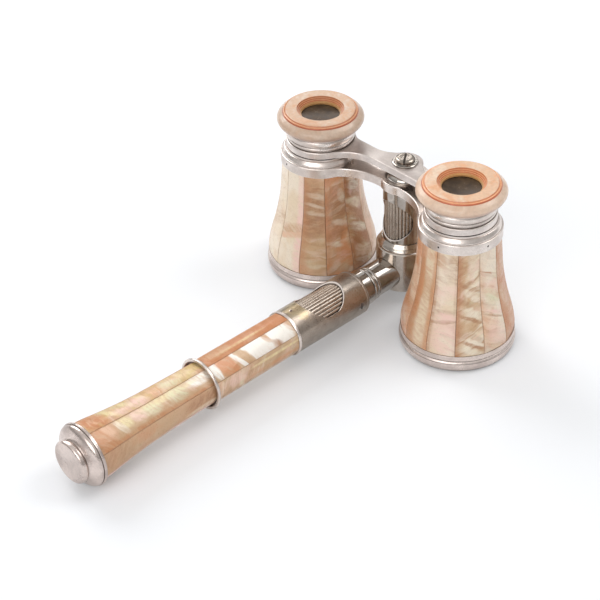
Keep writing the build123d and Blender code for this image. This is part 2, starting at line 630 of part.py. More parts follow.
parts["grip_joint"] = on_handle(grip_joint - top_pin)

# ------------------------------------------------------- handle drum and drive
drum_start = ferrule_wall_end + end_gap
drum_end = joint_start - end_gap
handle_drum = fluted(handle_drum_radius, drum_start, drum_end) + rod(stub_radius, drum_end, stub_end)
handle_drum -= rod(shaft_radius, drum_start - 1, drum_start + shaft_depth)
parts["handle_drum"] = on_handle(handle_drum)
small_end = gear_pitch - gear_face / sqrt(2)
parts["drive_shaft"] = on_handle(rod(shaft_radius, small_end - 0.2, drum_start + shaft_depth))
parts["pinion_gear"] = on_handle(bevel_gear(shaft_radius, neck_start - end_gap, True))

# --------------------------------------------------------------- upper grip
parts["upper_tube"] = on_handle(tube(grip_tube_radius, grip_tube_bore, ring_end, tube_end))
outline = [[(grip_tube_radius, ring_end), (grip_radius, ring_end), (grip_mouth_radius, grip_end),
            (grip_tube_radius, grip_end)]]
parts["upper_pearl"] = [on_handle(strip) for strip in strips(
    handle_strips, 90 - handle_seam_turn, grip_radius, outline)]
pocket = lower_top_radius + free_gap
parts["mouth_ring"] = on_handle(turned(
    [(grip_tube_radius, grip_end), (grip_mouth_radius + 0.2, grip_end)],
    ((grip_mouth_radius + 0.2, grip_end), (mouth_radius - 0.35, grip_end + 0.25),
     (mouth_radius, mouth_end - 0.6), (mouth_radius - 0.05, mouth_end - 0.2),
     (mouth_radius - 0.3, mouth_end)),
    [(pocket + 0.3, mouth_end), (pocket, mouth_end - 0.3), (pocket, tube_end),
     (grip_tube_radius, tube_end)]))

# --------------------------------------------------------------- lower grip
parts["extension_tube"] = on_handle(tube(extension_radius, extension_radius - extension_wall,
                                         extension_start, lower_end))
parts["lower_core"] = on_handle(turned(
    [(extension_radius, lower_start)], lower_curve(lower_pearl), [(extension_radius, lower_end)]))
outline = [lower_curve(0), [(lower_foot_radius, lower_end), (lower_foot_radius - lower_pearl, lower_end)],
           tuple(reversed(lower_curve(lower_pearl)))]
parts["lower_pearl"] = [on_handle(strip) for strip in strips(
    handle_strips, 90 - handle_seam_turn, grip_radius, outline)]
cap_spigot = extension_radius - extension_wall
cap_foot = lower_end - cap_spigot_length
button_socket = button_root - button_depth
parts["end_cap"] = on_handle(turned(
    [(0, cap_foot), (cap_spigot, cap_foot), (cap_spigot, lower_end),
     (end_cap_radius - 0.3, lower_end), (end_cap_radius, lower_end + 0.2),
     (end_cap_radius, lower_end + 0.85), (end_cap_radius - 0.2, lower_end + 1.05),
     (end_cap_radius - 0.45, lower_end + 1.1), (end_cap_radius - 0.45, lower_end + 1.3),
     (end_cap_radius - 0.25, lower_end + 1.4)],
    ((end_cap_radius - 0.25, lower_end + 1.4), (end_cap_radius - 0.45, lower_end + 2.0),
     (end_cap_radius - 1.2, lower_end + 2.7), (button_radius + 1.1, lower_end + 3.2),
     (button_radius - 0.3, button_root - 0.35), (button_radius - 0.6, button_root)),
    [(button_spigot, button_root), (button_spigot, button_socket), (0, button_socket)]))
parts["cap_button"] = on_handle(turned(
    [(0, button_socket), (button_spigot, button_socket), (button_spigot, button_root),
     (button_radius - 0.5, button_root)],
    ((button_radius - 0.5, button_root), (button_radius - 0.05, button_root + 0.5),
     (button_radius, button_root + 1.0), (button_radius - 0.2, handle_end - 0.45),
     (button_radius - 0.8, handle_end)),
    [(0, handle_end)]))

# -------------------------------------------------------------------- output
middle = (post_offset - handle_end + rim_radius) / 2
for name, piece in parts.items():
    if isinstance(piece, list):
        piece = Compound(children=[Pos(0, -middle, 0) * p for p in piece])
    else:
        piece = Pos(0, -middle, 0) * piece
    export_step(piece, f"parts/{name}.step")
    solids = piece.solids()
    print(name, len(solids), "solid(s)", round(sum(s.volume for s in solids), 2))
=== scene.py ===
# %% [markdown]
# # Opera glasses with a telescoping pearl handle
# The glasses stand on their two objective rims, eyepieces up, with the handle lying on the
# table towards the viewer.  Brass barrels and a brass handle tube are clad in strips of
# mother-of-pearl; rims, bridges and mounts are silvered, the post and the neck are worn nickel.
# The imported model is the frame: every turned metal part keeps its own solid, and this script
# dresses it.  Two kinds of piece are made again here, because they repeat and because their
# look is in fine shaping: the pearl strips, and the ribbed drums behind the two windows.

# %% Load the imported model
import json
from math import cos, pi, radians, sin

import bpy
from mathutils import Matrix, Vector


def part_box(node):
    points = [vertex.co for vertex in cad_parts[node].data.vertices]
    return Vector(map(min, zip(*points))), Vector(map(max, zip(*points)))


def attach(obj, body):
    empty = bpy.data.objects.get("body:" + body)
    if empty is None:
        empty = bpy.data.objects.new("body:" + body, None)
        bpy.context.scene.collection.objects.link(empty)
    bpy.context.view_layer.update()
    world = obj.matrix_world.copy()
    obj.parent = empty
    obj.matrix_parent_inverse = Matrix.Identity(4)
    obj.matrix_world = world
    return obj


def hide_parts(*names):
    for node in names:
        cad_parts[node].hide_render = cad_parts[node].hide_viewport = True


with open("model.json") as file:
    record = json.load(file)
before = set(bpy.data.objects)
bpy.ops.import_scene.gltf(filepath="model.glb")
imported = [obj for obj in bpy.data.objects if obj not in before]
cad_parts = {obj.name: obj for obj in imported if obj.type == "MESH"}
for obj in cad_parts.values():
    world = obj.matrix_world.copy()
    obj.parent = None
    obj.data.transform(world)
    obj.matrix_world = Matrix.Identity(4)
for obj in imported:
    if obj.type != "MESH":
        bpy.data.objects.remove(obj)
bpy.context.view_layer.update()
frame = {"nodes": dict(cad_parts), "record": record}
mm = 0.001

# %% [markdown]
# ## The camera
# A long lens looks down at the right barrel from above and to the user's right, so both
# barrels, the post and the whole handle fit in a square frame.  The three axes of the camera
# are worked out from azimuth, elevation and a slight roll, which is easier to read and to
# change than a matrix.

# %% Camera
camera_at = Vector((0.35628, -0.31395, 0.38322))
azimuth, elevation, roll = radians(47.06), radians(36.74), radians(-1.55)
back = Vector((sin(azimuth) * cos(elevation), -cos(azimuth) * cos(elevation), sin(elevation)))
level_right = Vector((cos(azimuth), sin(azimuth), 0))
level_up = back.cross(level_right)
right = level_right * cos(roll) + level_up * sin(roll)
up = back.cross(right)

camera_data = bpy.data.cameras.new("camera")
camera_data.lens = 115.04
camera_data.sensor_width = 36
camera_data.clip_start = 0.01
camera = bpy.data.objects.new("camera", camera_data)
camera.matrix_world = Matrix((right, up, back)).transposed().to_4x4()
camera.location = camera_at
bpy.context.scene.collection.objects.link(camera)
bpy.context.scene.camera = camera
bpy.context.scene.view_settings.view_transform = "Standard"
print("camera", [round(v, 3) for v in camera.location], "lens", camera_data.lens)

# %% [markdown]
# ## Places taken from the frame
# Nothing is placed by eye: the axes and heights that the new pieces need are read from the
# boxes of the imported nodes.

# %% Places
def box_of(name):
    low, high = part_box(name)
    return Vector(low), Vector(high)


def middle_of(name):
    low, high = box_of(name)
    return (low + high) / 2


barrel_axis = {side: middle_of("objective_rim_" + side) for side in ("left", "right")}
post_axis = middle_of("focus_drum")
handle_axis = middle_of("handle_drum")
pearl_low, pearl_high = box_of("pearl_right")
grip_low, grip_high = box_of("upper_pearl")
lower_low, lower_high = box_of("lower_pearl")
print("post axis y", round(post_axis.y / mm, 2), "handle axis z", round(handle_axis.z / mm, 2))

# %% [markdown]
# ## Small helpers for node trees
# Every finish and every shape here is a node tree.  The helpers keep the trees readable:
# `node` adds one node and fills its sockets, `calc` adds one sum, with `plus`, `minus`, `times`
# and `over` for the commonest ones, `ramp` turns a number into a colour, and `paint` turns an
# ordinary 0-255 colour into light.

# %% Nodes and sums
def fill(tree, socket, value):
    """Link another node's output to a socket, or set a plain value on it."""
    if isinstance(value, bpy.types.NodeSocket):
        tree.links.new(value, socket)
    else:
        socket.default_value = value


def node(tree, kind, sockets=None, **settings):
    """Add a node; a socket takes a number, a colour or another node's output."""
    made = tree.nodes.new(kind)
    for name, value in settings.items():
        setattr(made, name, value)
    for name, value in (sockets or {}).items():
        fill(tree, made.inputs[name], value)
    return made


def calc(tree, operation, a, b=0.0):
    """One line of arithmetic."""
    return node(tree, "ShaderNodeMath", {0: a, 1: b}, operation=operation).outputs[0]


def plus(tree, a, b):
    return calc(tree, "ADD", a, b)


def minus(tree, a, b):
    return calc(tree, "SUBTRACT", a, b)


def times(tree, a, b):
    return calc(tree, "MULTIPLY", a, b)


def over(tree, a, b):
    return calc(tree, "DIVIDE", a, b)


def unsigned(tree, a):
    return calc(tree, "ABSOLUTE", a)


def hypotenuse(tree, a, b):
    return calc(tree, "SQRT", plus(tree, times(tree, a, a), times(tree, b, b)))


def vector(tree, x=0.0, y=0.0, z=0.0):
    """Three numbers as one vector."""
    return node(tree, "ShaderNodeCombineXYZ", {"X": x, "Y": y, "Z": z}).outputs[0]


def span(tree, value, low, high, to_low=0.0, to_high=1.0):
    """Map a range of numbers to another, held at both ends, with a soft start and stop."""
    return node(tree, "ShaderNodeMapRange", {0: value, 1: low, 2: high, 3: to_low, 4: to_high},
                interpolation_type="SMOOTHSTEP").outputs[0]


def noise(tree, place, scale, detail=3.0, roughness=0.5, distortion=0.0):
    """Soft random numbers round 0.5."""
    return node(tree, "ShaderNodeTexNoise", {"Vector": place, "Scale": scale, "Detail": detail,
                                             "Roughness": roughness, "Distortion": distortion}).outputs[0]


print("sums ready")


# %% Colours
def paint(red, green, blue):
    """A 0-255 screen colour as linear light."""
    def linear(value):
        value /= 255
        return value / 12.92 if value <= 0.04045 else ((value + 0.055) / 1.055) ** 2.4
    return (linear(red), linear(green), linear(blue), 1.0)


def grey(level):
    return (level, level, level, 1)


def ramp(tree, factor, stops, how="EASE"):
    """Colours between stops of (place, colour)."""
    made = node(tree, "ShaderNodeValToRGB", {0: factor})
    made.color_ramp.interpolation = how
    elements = made.color_ramp.elements
    for place, _ in stops[2:]:
        elements.new(place)
    for element, (place, colour) in zip(elements, stops):
        element.position = place
        element.color = colour
    return made.outputs["Color"]


def blend(tree, factor, first, second, how="MIX"):
    """Mix two colours."""
    made = node(tree, "ShaderNodeMix", data_type="RGBA", blend_type=how, clamp_factor=True)
    for index, value in ((0, factor), (6, first), (7, second)):
        fill(tree, made.inputs[index], value)
    return made.outputs[2]


def brighten(tree, colour, level):
    """Multiply a colour by a number."""
    return blend(tree, 1.0, colour, vector(tree, level, level, level), "MULTIPLY")


print("cream as light", [round(v, 3) for v in paint(234, 212, 182)])


# %% Materials
def finish_named(name):
    """An empty material tree with its Principled shader."""
    made = bpy.data.materials.new(name)
    made.use_nodes = True
    return made, made.node_tree, made.node_tree.nodes["Principled BSDF"]


def set_shader(tree, shader, **sockets):
    """Fill the Principled shader's sockets; underscores in names stand for spaces."""
    for name, value in sockets.items():
        fill(tree, shader.inputs[name.replace("_", " ")], value)


def relief(tree, strength, height_mm, height):
    """Fine bumps; height is the number that they follow."""
    return node(tree, "ShaderNodeBump", {"Strength": strength, "Distance": height_mm * mm,
                                         "Height": height}).outputs[0]


def scaled_by(tree, place, factors):
    return node(tree, "ShaderNodeVectorMath", {0: place, 1: factors}, operation="MULTIPLY").outputs[0]


def millimetres(tree):
    """Object coordinates in millimetres, as a vector and as three numbers."""
    place = node(tree, "ShaderNodeTexCoord").outputs["Object"]
    scaled = scaled_by(tree, place, (1 / mm, 1 / mm, 1 / mm))
    return (scaled, *node(tree, "ShaderNodeSeparateXYZ", {0: scaled}).outputs)


def facing_up(tree):
    """1 on surfaces that face up, -1 on those that face down."""
    normal = node(tree, "ShaderNodeNewGeometry").outputs["Normal"]
    return node(tree, "ShaderNodeSeparateXYZ", {0: normal}).outputs[2]


def apart(tree, place, centre):
    """Distance from a point."""
    return node(tree, "ShaderNodeVectorMath", {0: place, 1: centre}, operation="DISTANCE").outputs["Value"]


print("helpers ready")

# %% [markdown]
# ## Studio
# A white table under soft light.  The table is a diffuse surface, so it keeps the soft shadow
# of the glasses, with part of its brightness given back to the camera and to reflections so
# that the open table reads as plain white.  That glow rises with the distance from the
# glasses: near them the shadow needs to stay, and far off the table has to meet the white room.
# Close round the glasses, ambient occlusion also greys the table's own colour as a painted
# contact shadow.

# %% White table
table_reach, table_drop = 1.5, 0.2 * mm
table_glow, glow_from, glow_full = 0.18, 0.22, 0.60
foot_shade_mm, foot_shade = 16, paint(150, 150, 152)
occlusion_samples = 8


def seen_ray(tree):
    """1 for rays that only look: camera, gloss and glass."""
    path = node(tree, "ShaderNodeLightPath")
    seen = calc(tree, "MAXIMUM", path.outputs["Is Camera Ray"], path.outputs["Is Glossy Ray"])
    return calc(tree, "MAXIMUM", seen, path.outputs["Is Transmission Ray"])


def openness(tree, reach_mm, **settings):
    """Ambient occlusion: 1 on open surface, less where something stands within reach."""
    return node(tree, "ShaderNodeAmbientOcclusion", {"Distance": reach_mm * mm},
                samples=occlusion_samples, **settings).outputs["AO"]


def white_table():
    made, tree, shader = finish_named("white_table")
    tree.nodes.remove(shader)
    grain = node(tree, "ShaderNodeTexNoise", {"Scale": 3.0, "Detail": 2.0}).outputs[0]
    tint = ramp(tree, grain, [(0.3, paint(231, 233, 236)), (0.7, paint(235, 237, 240))])
    # painted contact shadow: the table's colour turns grey where the glasses stand close by
    painted_foot_shade_mask = span(tree, openness(tree, foot_shade_mm), 0.85, 0.25, 0.0, 0.4)
    diffuse = node(tree, "ShaderNodeBsdfDiffuse", {"Color": blend(tree, painted_foot_shade_mask, tint, foot_shade)})
    place = node(tree, "ShaderNodeTexCoord").outputs["Object"]
    away = node(tree, "ShaderNodeVectorMath", {0: place}, operation="LENGTH").outputs["Value"]
    glow = times(tree, seen_ray(tree), span(tree, away, glow_from, glow_full, table_glow, 1.0))
    glow = node(tree, "ShaderNodeEmission", {"Color": grey(1), "Strength": glow})
    both = node(tree, "ShaderNodeAddShader", {0: diffuse.outputs[0], 1: glow.outputs[0]})
    tree.links.new(both.outputs[0], tree.nodes["Material Output"].inputs["Surface"])
    return made


table_mesh = bpy.data.meshes.new("table")
corners = [(-table_reach, -table_reach, 0), (table_reach, -table_reach, 0),
           (table_reach, table_reach, 0), (-table_reach, table_reach, 0)]
table_mesh.from_pydata(corners, [], [(0, 1, 2, 3)])
table_mesh.materials.append(white_table())
table = bpy.data.objects.new("table", table_mesh)
table.location.z = -table_drop
bpy.context.scene.collection.objects.link(table)
print("table", 2 * table_reach, "m wide")

# %% [markdown]
# The room is white to the camera and a paler or darker grey to everything that mirrors it:
# bright overhead and dimmer near the table, so that polished metal keeps some shape.  As a lamp
# it is weaker than it looks, so that the softboxes still model the glasses.

# %% Room
world_as_lamp = 0.46
room_low, room_high = 0.40, 0.85

world = bpy.data.worlds.new("studio")
bpy.context.scene.world = world
world.use_nodes = True
world_tree = world.node_tree
towards = node(world_tree, "ShaderNodeTexCoord").outputs["Generated"]
height = node(world_tree, "ShaderNodeSeparateXYZ", {0: towards}).outputs[2]
mirrored = span(world_tree, height, 0.10, 0.75, room_low, room_high)
camera_ray = node(world_tree, "ShaderNodeLightPath").outputs["Is Camera Ray"]
room_level = span(world_tree, seen_ray(world_tree), 0.0, 1.0, world_as_lamp, mirrored)
room_level = calc(world_tree, "MAXIMUM", room_level, camera_ray)
background = world_tree.nodes["Background"]
background.inputs["Color"].default_value = grey(1)
world_tree.links.new(room_level, background.inputs["Strength"])
print("room as a lamp", world_as_lamp, "mirrored", room_low, "to", room_high)

# %% [markdown]
# The strongest softbox stands on the left and throws the shadow to the right.  Another one
# behind on the right and a narrow strip lamp behind on the left draw the two sharp stripes on
# the neck, and a wide softbox in front fills the rest.

# %% Softboxes
lamp_distance = 1.20
lamp_target = Vector((0, 0, 0.02))


def softbox(name, towards, size, power):
    """A rectangular lamp in a direction from the glasses, facing them."""
    lamp = bpy.data.lights.new(name, "AREA")
    lamp.shape = "RECTANGLE"
    lamp.size, lamp.size_y = size
    lamp.energy = power
    made = bpy.data.objects.new(name, lamp)
    made.location = lamp_target + Vector(towards).normalized() * lamp_distance
    made.rotation_euler = (lamp_target - made.location).to_track_quat("-Z", "Y").to_euler()
    bpy.context.scene.collection.objects.link(made)


softbox("left_softbox", (-0.80, 0.10, 0.58), (0.60, 0.80), 6.4)
softbox("right_softbox", (0.30, 0.55, 0.78), (0.66, 0.56), 3.9)
softbox("strip_softbox", (-0.66, 0.56, 0.50), (0.45, 0.09), 0.5)
softbox("front_softbox", (0.30, -0.80, 0.52), (0.90, 0.60), 5.2)

# %% [markdown]
# ## Mother-of-pearl
# Nacre is many thin clear layers, cut across the shell so that its growth bands show.  Each
# strip comes from another place in the shell, so each has its own ground tone, its own slant
# of bands and its own flash.  The finish reads three numbers stored on the cladding: `strip`
# counts the strips round the tube, `across` and `along` run from 0 to 1 over one strip.
# Stepped ramps are look-up tables from strip number to tone; noise stretched across the strip
# makes the bands; and marks put the few bold bands, and the white flashes that are painted
# highlights, where they catch the eye.

# %% Shell colours and strip tables
cream, peach, tan, orange = (234, 212, 182), (230, 190, 158), (208, 165, 128), (212, 148, 104)
brown, pink, painted_flash_white, butter = (176, 124, 86), (244, 206, 192), (252, 246, 236), (240, 224, 172)
umber, rust, pale, pale_green = (150, 100, 66), (186, 122, 78), (244, 232, 210), (224, 222, 184)
amber, gold, sand, ivory = (200, 132, 84), (214, 184, 124), (206, 170, 132), (242, 226, 204)


def table_of(tree, strip, values):
    """One colour for each strip."""
    count = len(values)
    stops = [(i / count, value) for i, value in enumerate(values)]
    return ramp(tree, over(tree, plus(tree, strip, 0.5), count), stops, "CONSTANT")


def tones_of(tree, strip, colours):
    return table_of(tree, strip, [paint(*colour) for colour in colours])


def numbers_of(tree, strip, numbers):
    return table_of(tree, strip, [grey(number) for number in numbers])


def to_edge(tree, across):
    """Share of the width between a point and the nearer long edge."""
    return minus(tree, 0.5, unsigned(tree, minus(tree, across, 0.5)))


print("shell colours from", umber, "to", painted_flash_white)

# %% [markdown]
# The pearl is painted in layers: soft clouds of two tones, then the growth bands, each with a
# painted highlight on its fold and painted shade in the hollow behind it, and a faint pink and green that
# follow the bands.

# %% Growth bands
def laid(tree, colour, mask, strength, shade):
    """A layer of one shade where the mask is."""
    return blend(tree, times(tree, mask, strength), colour, paint(*shade))


def banded(tree, colour, amount, cloud, band, bent, hue):
    """Growth bands.  bent is the place along the strip in mm, shifted so that bands slope and flow."""
    colour = laid(tree, colour, times(tree, span(tree, band, 0.52, 0.72), amount), 0.70, brown)
    colour = laid(tree, colour, times(tree, span(tree, band, 0.48, 0.30), amount), 0.65, pale)
    fold = calc(tree, "FRACT", plus(tree, times(tree, bent, 0.21), times(tree, band, 1.6)))
    where = times(tree, span(tree, cloud, 0.40, 0.62), amount)
    # painted highlight on each fold and painted shade in the hollow behind it
    painted_fold_light = times(tree, span(tree, fold, 0.02, 0.14), span(tree, fold, 0.55, 0.16))
    painted_hollow_shade = times(tree, span(tree, fold, 0.62, 0.97), span(tree, fold, 1.0, 0.985))
    colour = laid(tree, colour, times(tree, painted_fold_light, where), 0.75, pale)
    colour = laid(tree, colour, times(tree, painted_hollow_shade, where), 0.75, brown)
    tint = times(tree, amount, 0.6)
    colour = laid(tree, colour, span(tree, hue, 0.54, 0.72), tint, pink)
    return laid(tree, colour, span(tree, hue, 0.46, 0.28), tint, pale_green)


print("bands ready")

# %% [markdown]
# Bold marks lie over the bands.  Each is a soft oval on one strip; the bands tear its two ends
# and fine streaks thin it, so that no mark has a drawn outline.

# %% Bold marks
longest_tear = 4.0


def marked(tree, colour, marks, size, strip, side, down, band, streak):
    """Marks as (strip, along, across, long, wide, tilt, colour, strength) on a strip of this size."""
    for number, at, beside, long, wide, lean, shade, strength in marks:
        here = calc(tree, "LESS_THAN", unsigned(tree, minus(tree, strip, number)), 0.5)
        ragged = times(tree, minus(tree, band, 0.5), min(longest_tear, 1.2 * long))
        lengthwise = minus(tree, down, plus(tree, at * size[1], times(tree, side, lean)))
        lengthwise = over(tree, plus(tree, lengthwise, ragged), long / 2)
        sideways = over(tree, minus(tree, side, beside * size[0]), wide / 2)
        away = plus(tree, times(tree, sideways, sideways), times(tree, lengthwise, lengthwise))
        mask = times(tree, span(tree, away, 1.8, 0.1, 0.0, strength), here)
        colour = laid(tree, colour, mask, streak, shade)
    return colour


print("marks ready")

# %% [markdown]
# The whole finish: clouds, bands, the finest lines of the shell, the marks, and last a painted
# shade along each strip's first edge and the dirt in the joints.  Neighbouring strips read the
# noise far apart, as if each were sawn from another place in the shell.

# %% Pearl finish
slant_turn, shell_step = 2.4, 31.7
joint_dirt_mm = 0.20


def pearl_finish(name, size, ground, second, banding, hatching, painted_edge_shade, slant, marks):
    """Nacre on strips of size (width, length) in mm.  ground and second are the two tones of
    each strip, banding the strength of its growth bands, hatching of its finest lines,
    painted_edge_shade how much painted shade darkens its first edge, and slant the slope of the
    bands over the whole piece."""
    made, tree, shader = finish_named(name)
    strip, across, along = [node(tree, "ShaderNodeAttribute", attribute_name=word).outputs["Fac"]
                            for word in ("strip", "across", "along")]
    side = times(tree, minus(tree, across, 0.5), size[0])
    down = times(tree, along, size[1])
    tilt = times(tree, calc(tree, "SINE", times(tree, strip, slant_turn)), slant)
    sloped = plus(tree, down, times(tree, side, tilt))
    sawn_at = times(tree, strip, shell_step)
    cloud = noise(tree, vector(tree, side, times(tree, down, 0.7), sawn_at), 0.16, 3.0, 0.5, 0.5)
    flow = noise(tree, vector(tree, side, down, sawn_at), 0.10, 2.0)
    bent = plus(tree, sloped, times(tree, flow, 6.0))
    band = noise(tree, vector(tree, times(tree, side, 0.35), bent, sawn_at), 0.30, 3.0, 0.5, 0.2)
    hue = noise(tree, vector(tree, side, bent, plus(tree, sawn_at, 9.0)), 0.20, 2.0)
    line = noise(tree, vector(tree, times(tree, side, 0.12), bent, sawn_at), 1.7, 2.0)
    grain = noise(tree, vector(tree, side, down, sawn_at), 2.2, 3.0, 0.7)

    first, other = tones_of(tree, strip, ground), tones_of(tree, strip, second)
    colour = blend(tree, span(tree, cloud, 0.36, 0.64), first, other)
    colour = banded(tree, colour, numbers_of(tree, strip, banding), cloud, band, bent, hue)
    hatch = times(tree, minus(tree, line, 0.5), numbers_of(tree, strip, hatching))
    speck = times(tree, minus(tree, grain, 0.5), 0.12)
    colour = brighten(tree, colour, plus(tree, plus(tree, 1.0, hatch), speck))
    streak = vector(tree, times(tree, side, 0.3), bent, plus(tree, sawn_at, 4.0))
    streak = span(tree, noise(tree, streak, 0.9, 4.0, 0.65), 0.36, 0.62, 0.45, 1.1)
    colour = marked(tree, colour, marks, size, strip, side, down, band, streak)
    # painted shade along the first edge of every strip
    shaded_first_edge = span(tree, across, 0.42, 0.0)
    colour = laid(tree, colour, shaded_first_edge, numbers_of(tree, strip, painted_edge_shade), rust)
    joint = span(tree, times(tree, to_edge(tree, across), size[0]), joint_dirt_mm, 0.0, 0.0, 0.5)
    colour = blend(tree, joint, colour, paint(*umber))

    ripple = plus(tree, times(tree, cloud, 3.0), band)
    set_shader(tree, shader, Base_Color=colour, Roughness=span(tree, grain, 0.3, 0.7, 0.26, 0.38),
               Metallic=0.06, Normal=relief(tree, 0.35, 0.5, ripple), Coat_Weight=0.15,
               Coat_Roughness=0.08)
    return made


print("pearl ready")

# %% [markdown]
# The strips of the barrels, by number round the tube.  A mark's place is a share of the strip's
# length and width, and its own size is in millimetres.

# %% Barrel strips
barrel_strips, grip_strips = 12, 8
barrel_middle, grip_middle = 15.5, 7.4
barrel_strip = (2 * pi * barrel_middle / barrel_strips, (pearl_high.z - pearl_low.z) / mm)

right_pearl = pearl_finish(
    "pearl_right", barrel_strip,
    ground=[amber, tan, cream, peach, tan, cream, peach, orange, tan, cream, sand, ivory],
    second=[tan, cream, peach, tan, peach, tan, cream, peach, orange, ivory, cream, peach],
    banding=[0.2, 0.5, 0.5, 0.6, 0.4, 0.6, 0.7, 0.3, 0.25, 0.5, 0.9, 0.45],
    hatching=[0.05, 0.1, 0.1, 0.1, 0.2, 0.1, 0.1, 0.1, 0.05, 0.12, 0.25, 0.2],
    painted_edge_shade=[0.3, 0.3, 0.2, 0.3, 0.4, 0.2, 0.3, 0.2, 0.6, 0.25, 0.6, 0.15], slant=0.55,
    marks=[(8, 0.86, 0.16, 16, 5, 0.1, cream, 1.0), (8, 0.26, 0.10, 24, 4.5, 0.0, cream, 1.0),
           (9, 0.50, -0.46, 60, 1.6, 0.0, brown, 0.55), (9, 0.88, -0.25, 6, 4, -0.3, tan, 0.7),
           (10, 0.50, -0.46, 60, 1.6, 0.0, brown, 0.5), (9, 0.55, 0.46, 50, 1.4, 0.0, brown, 0.35),
           (8, 0.58, -0.32, 18, 3.0, 0.0, orange, 0.8), (8, 0.5, 0.45, 40, 2.2, 0.0, orange, 0.5),
           (9, 0.93, 0.3, 5, 4, -0.3, brown, 0.5), (9, 0.72, 0.0, 12, 7, 0.1, ivory, 0.5),
           (9, 0.41, 0.0, 2.0, 8, 0.15, brown, 0.5), (9, 0.20, 0.1, 16, 8, 0.1, pink, 0.65),
           (9, 0.32, 0.0, 1.2, 9, 0.2, brown, 0.6), (9, 0.36, 0.1, 3.0, 8, 0.2, pink, 0.65),
           (9, 0.60, 0.1, 6.0, 8, 0.3, pink, 0.5), (9, 0.80, 0.2, 4.0, 6, -0.3, brown, 0.35),
           (11, 0.16, 0.1, 9, 7, -0.4, pink, 0.5), (11, 0.62, 0.2, 5, 7, -0.4, pink, 0.5),
           (10, 0.90, 0.2, 7, 4, -0.3, ivory, 0.6), (10, 0.66, 0.0, 1.8, 9, -0.5, brown, 0.55),
           (10, 0.59, 0.2, 2.6, 7, -0.5, ivory, 0.8), (10, 0.50, -0.2, 2.2, 6, -0.4, brown, 0.5),
           (10, 0.42, 0.2, 3.0, 7, -0.4, pale, 0.8), (10, 0.36, 0.0, 1.4, 9, -0.4, brown, 0.75),
           (10, 0.28, -0.1, 3.4, 8, -0.3, sand, 0.6), (10, 0.20, 0.0, 2.4, 8, -0.4, brown, 0.45),
           (10, 0.155, 0.2, 1.6, 6, -0.5, ivory, 0.95), (10, 0.12, 0.1, 1.4, 8, -0.5, brown, 0.75),
           (10, 0.05, 0.0, 2.6, 8, -0.4, pale, 0.7),
           (11, 0.76, 0.0, 0.5, 10, -0.45, rust, 0.8), (11, 0.52, 0.1, 5, 7, -0.5, pale_green, 0.55),
           (11, 0.37, 0.2, 2.0, 8, -0.5, pink, 0.7), (11, 0.33, 0.1, 0.8, 9, -0.5, brown, 0.6)])
left_pearl = pearl_finish(
    "pearl_left", barrel_strip,
    ground=[peach, tan, ivory, ivory, tan, orange, brown, peach, cream, tan, peach, cream],
    second=[tan, cream, cream, cream, sand, tan, tan, tan, peach, orange, cream, tan],
    banding=[0.6, 0.4, 0.15, 0.08, 0.35, 0.4, 0.7, 0.3, 0.7, 0.5, 0.6, 0.4],
    hatching=[0.1, 0.1, 0.05, 0.05, 0.15, 0.1, 0.2, 0.1, 0.1, 0.2, 0.1, 0.1],
    painted_edge_shade=[0.3, 0.2, 0.1, 0.0, 0.5, 0.4, 0.3, 0.1, 0.3, 0.2, 0.2, 0.3], slant=0.5,
    marks=[(3, 0.6, 0.42, 80, 3.6, 0.0, pink, 0.9), (2, 0.44, 0.0, 6, 16, 0.35, sand, 0.7),
           (3, 0.40, 0.0, 5.0, 30, 0.35, tan, 0.8), (3, 0.35, 0.1, 2.0, 30, 0.35, peach, 1.0),
           (4, 0.66, 0.0, 20, 10, -0.1, umber, 0.60), (5, 0.64, 0.0, 18, 10, 0.0, umber, 0.55),
           (4, 0.80, 0.1, 2.0, 8, -0.2, ivory, 0.5), (4, 0.70, 0.0, 1.4, 8, -0.2, ivory, 0.5),
           (4, 0.62, 0.1, 1.6, 8, -0.1, ivory, 0.45), (4, 0.50, 0.0, 3, 8, -0.1, brown, 0.3),
           (5, 0.52, 0.2, 2.4, 7, -0.3, ivory, 0.5), (5, 0.42, 0.0, 4, 10, 0.1, brown, 0.6),
           (5, 0.30, -0.2, 1.8, 6, -0.3, pale, 0.5), (5, 0.82, 0.3, 5, 3, -0.5, pale, 0.5),
           (6, 0.84, 0.1, 3, 7, -0.3, pale, 0.6), (6, 0.66, 0.1, 4, 7, -0.4, cream, 0.7),
           (6, 0.58, 0.0, 2, 8, -0.4, brown, 0.6), (6, 0.40, 0.1, 3.5, 7, -0.4, ivory, 0.75),
           (6, 0.18, 0.1, 5, 7, -0.3, cream, 0.6)])
print("barrel strips", [round(v, 2) for v in barrel_strip], "mm")

# %% [markdown]
# The strips of the grips.  Strip 7 of the upper grip is the one that flashes: its broad white
# marks are a painted highlight, stronger than 1, so that they stay whole where the streaks would
# thin them.  The white mark on strip 7 of the lower grip is a painted highlight too, and the long
# thin butter streak on strip 0 of the upper grip is a painted reflection of a strip light.

# %% Grip strips
lower_widening = 1.15
grip_width = 2 * pi * grip_middle / grip_strips
upper_strip = (grip_width, (grip_high.y - grip_low.y) / mm)
lower_strip = (grip_width * lower_widening, (lower_high.y - lower_low.y) / mm)

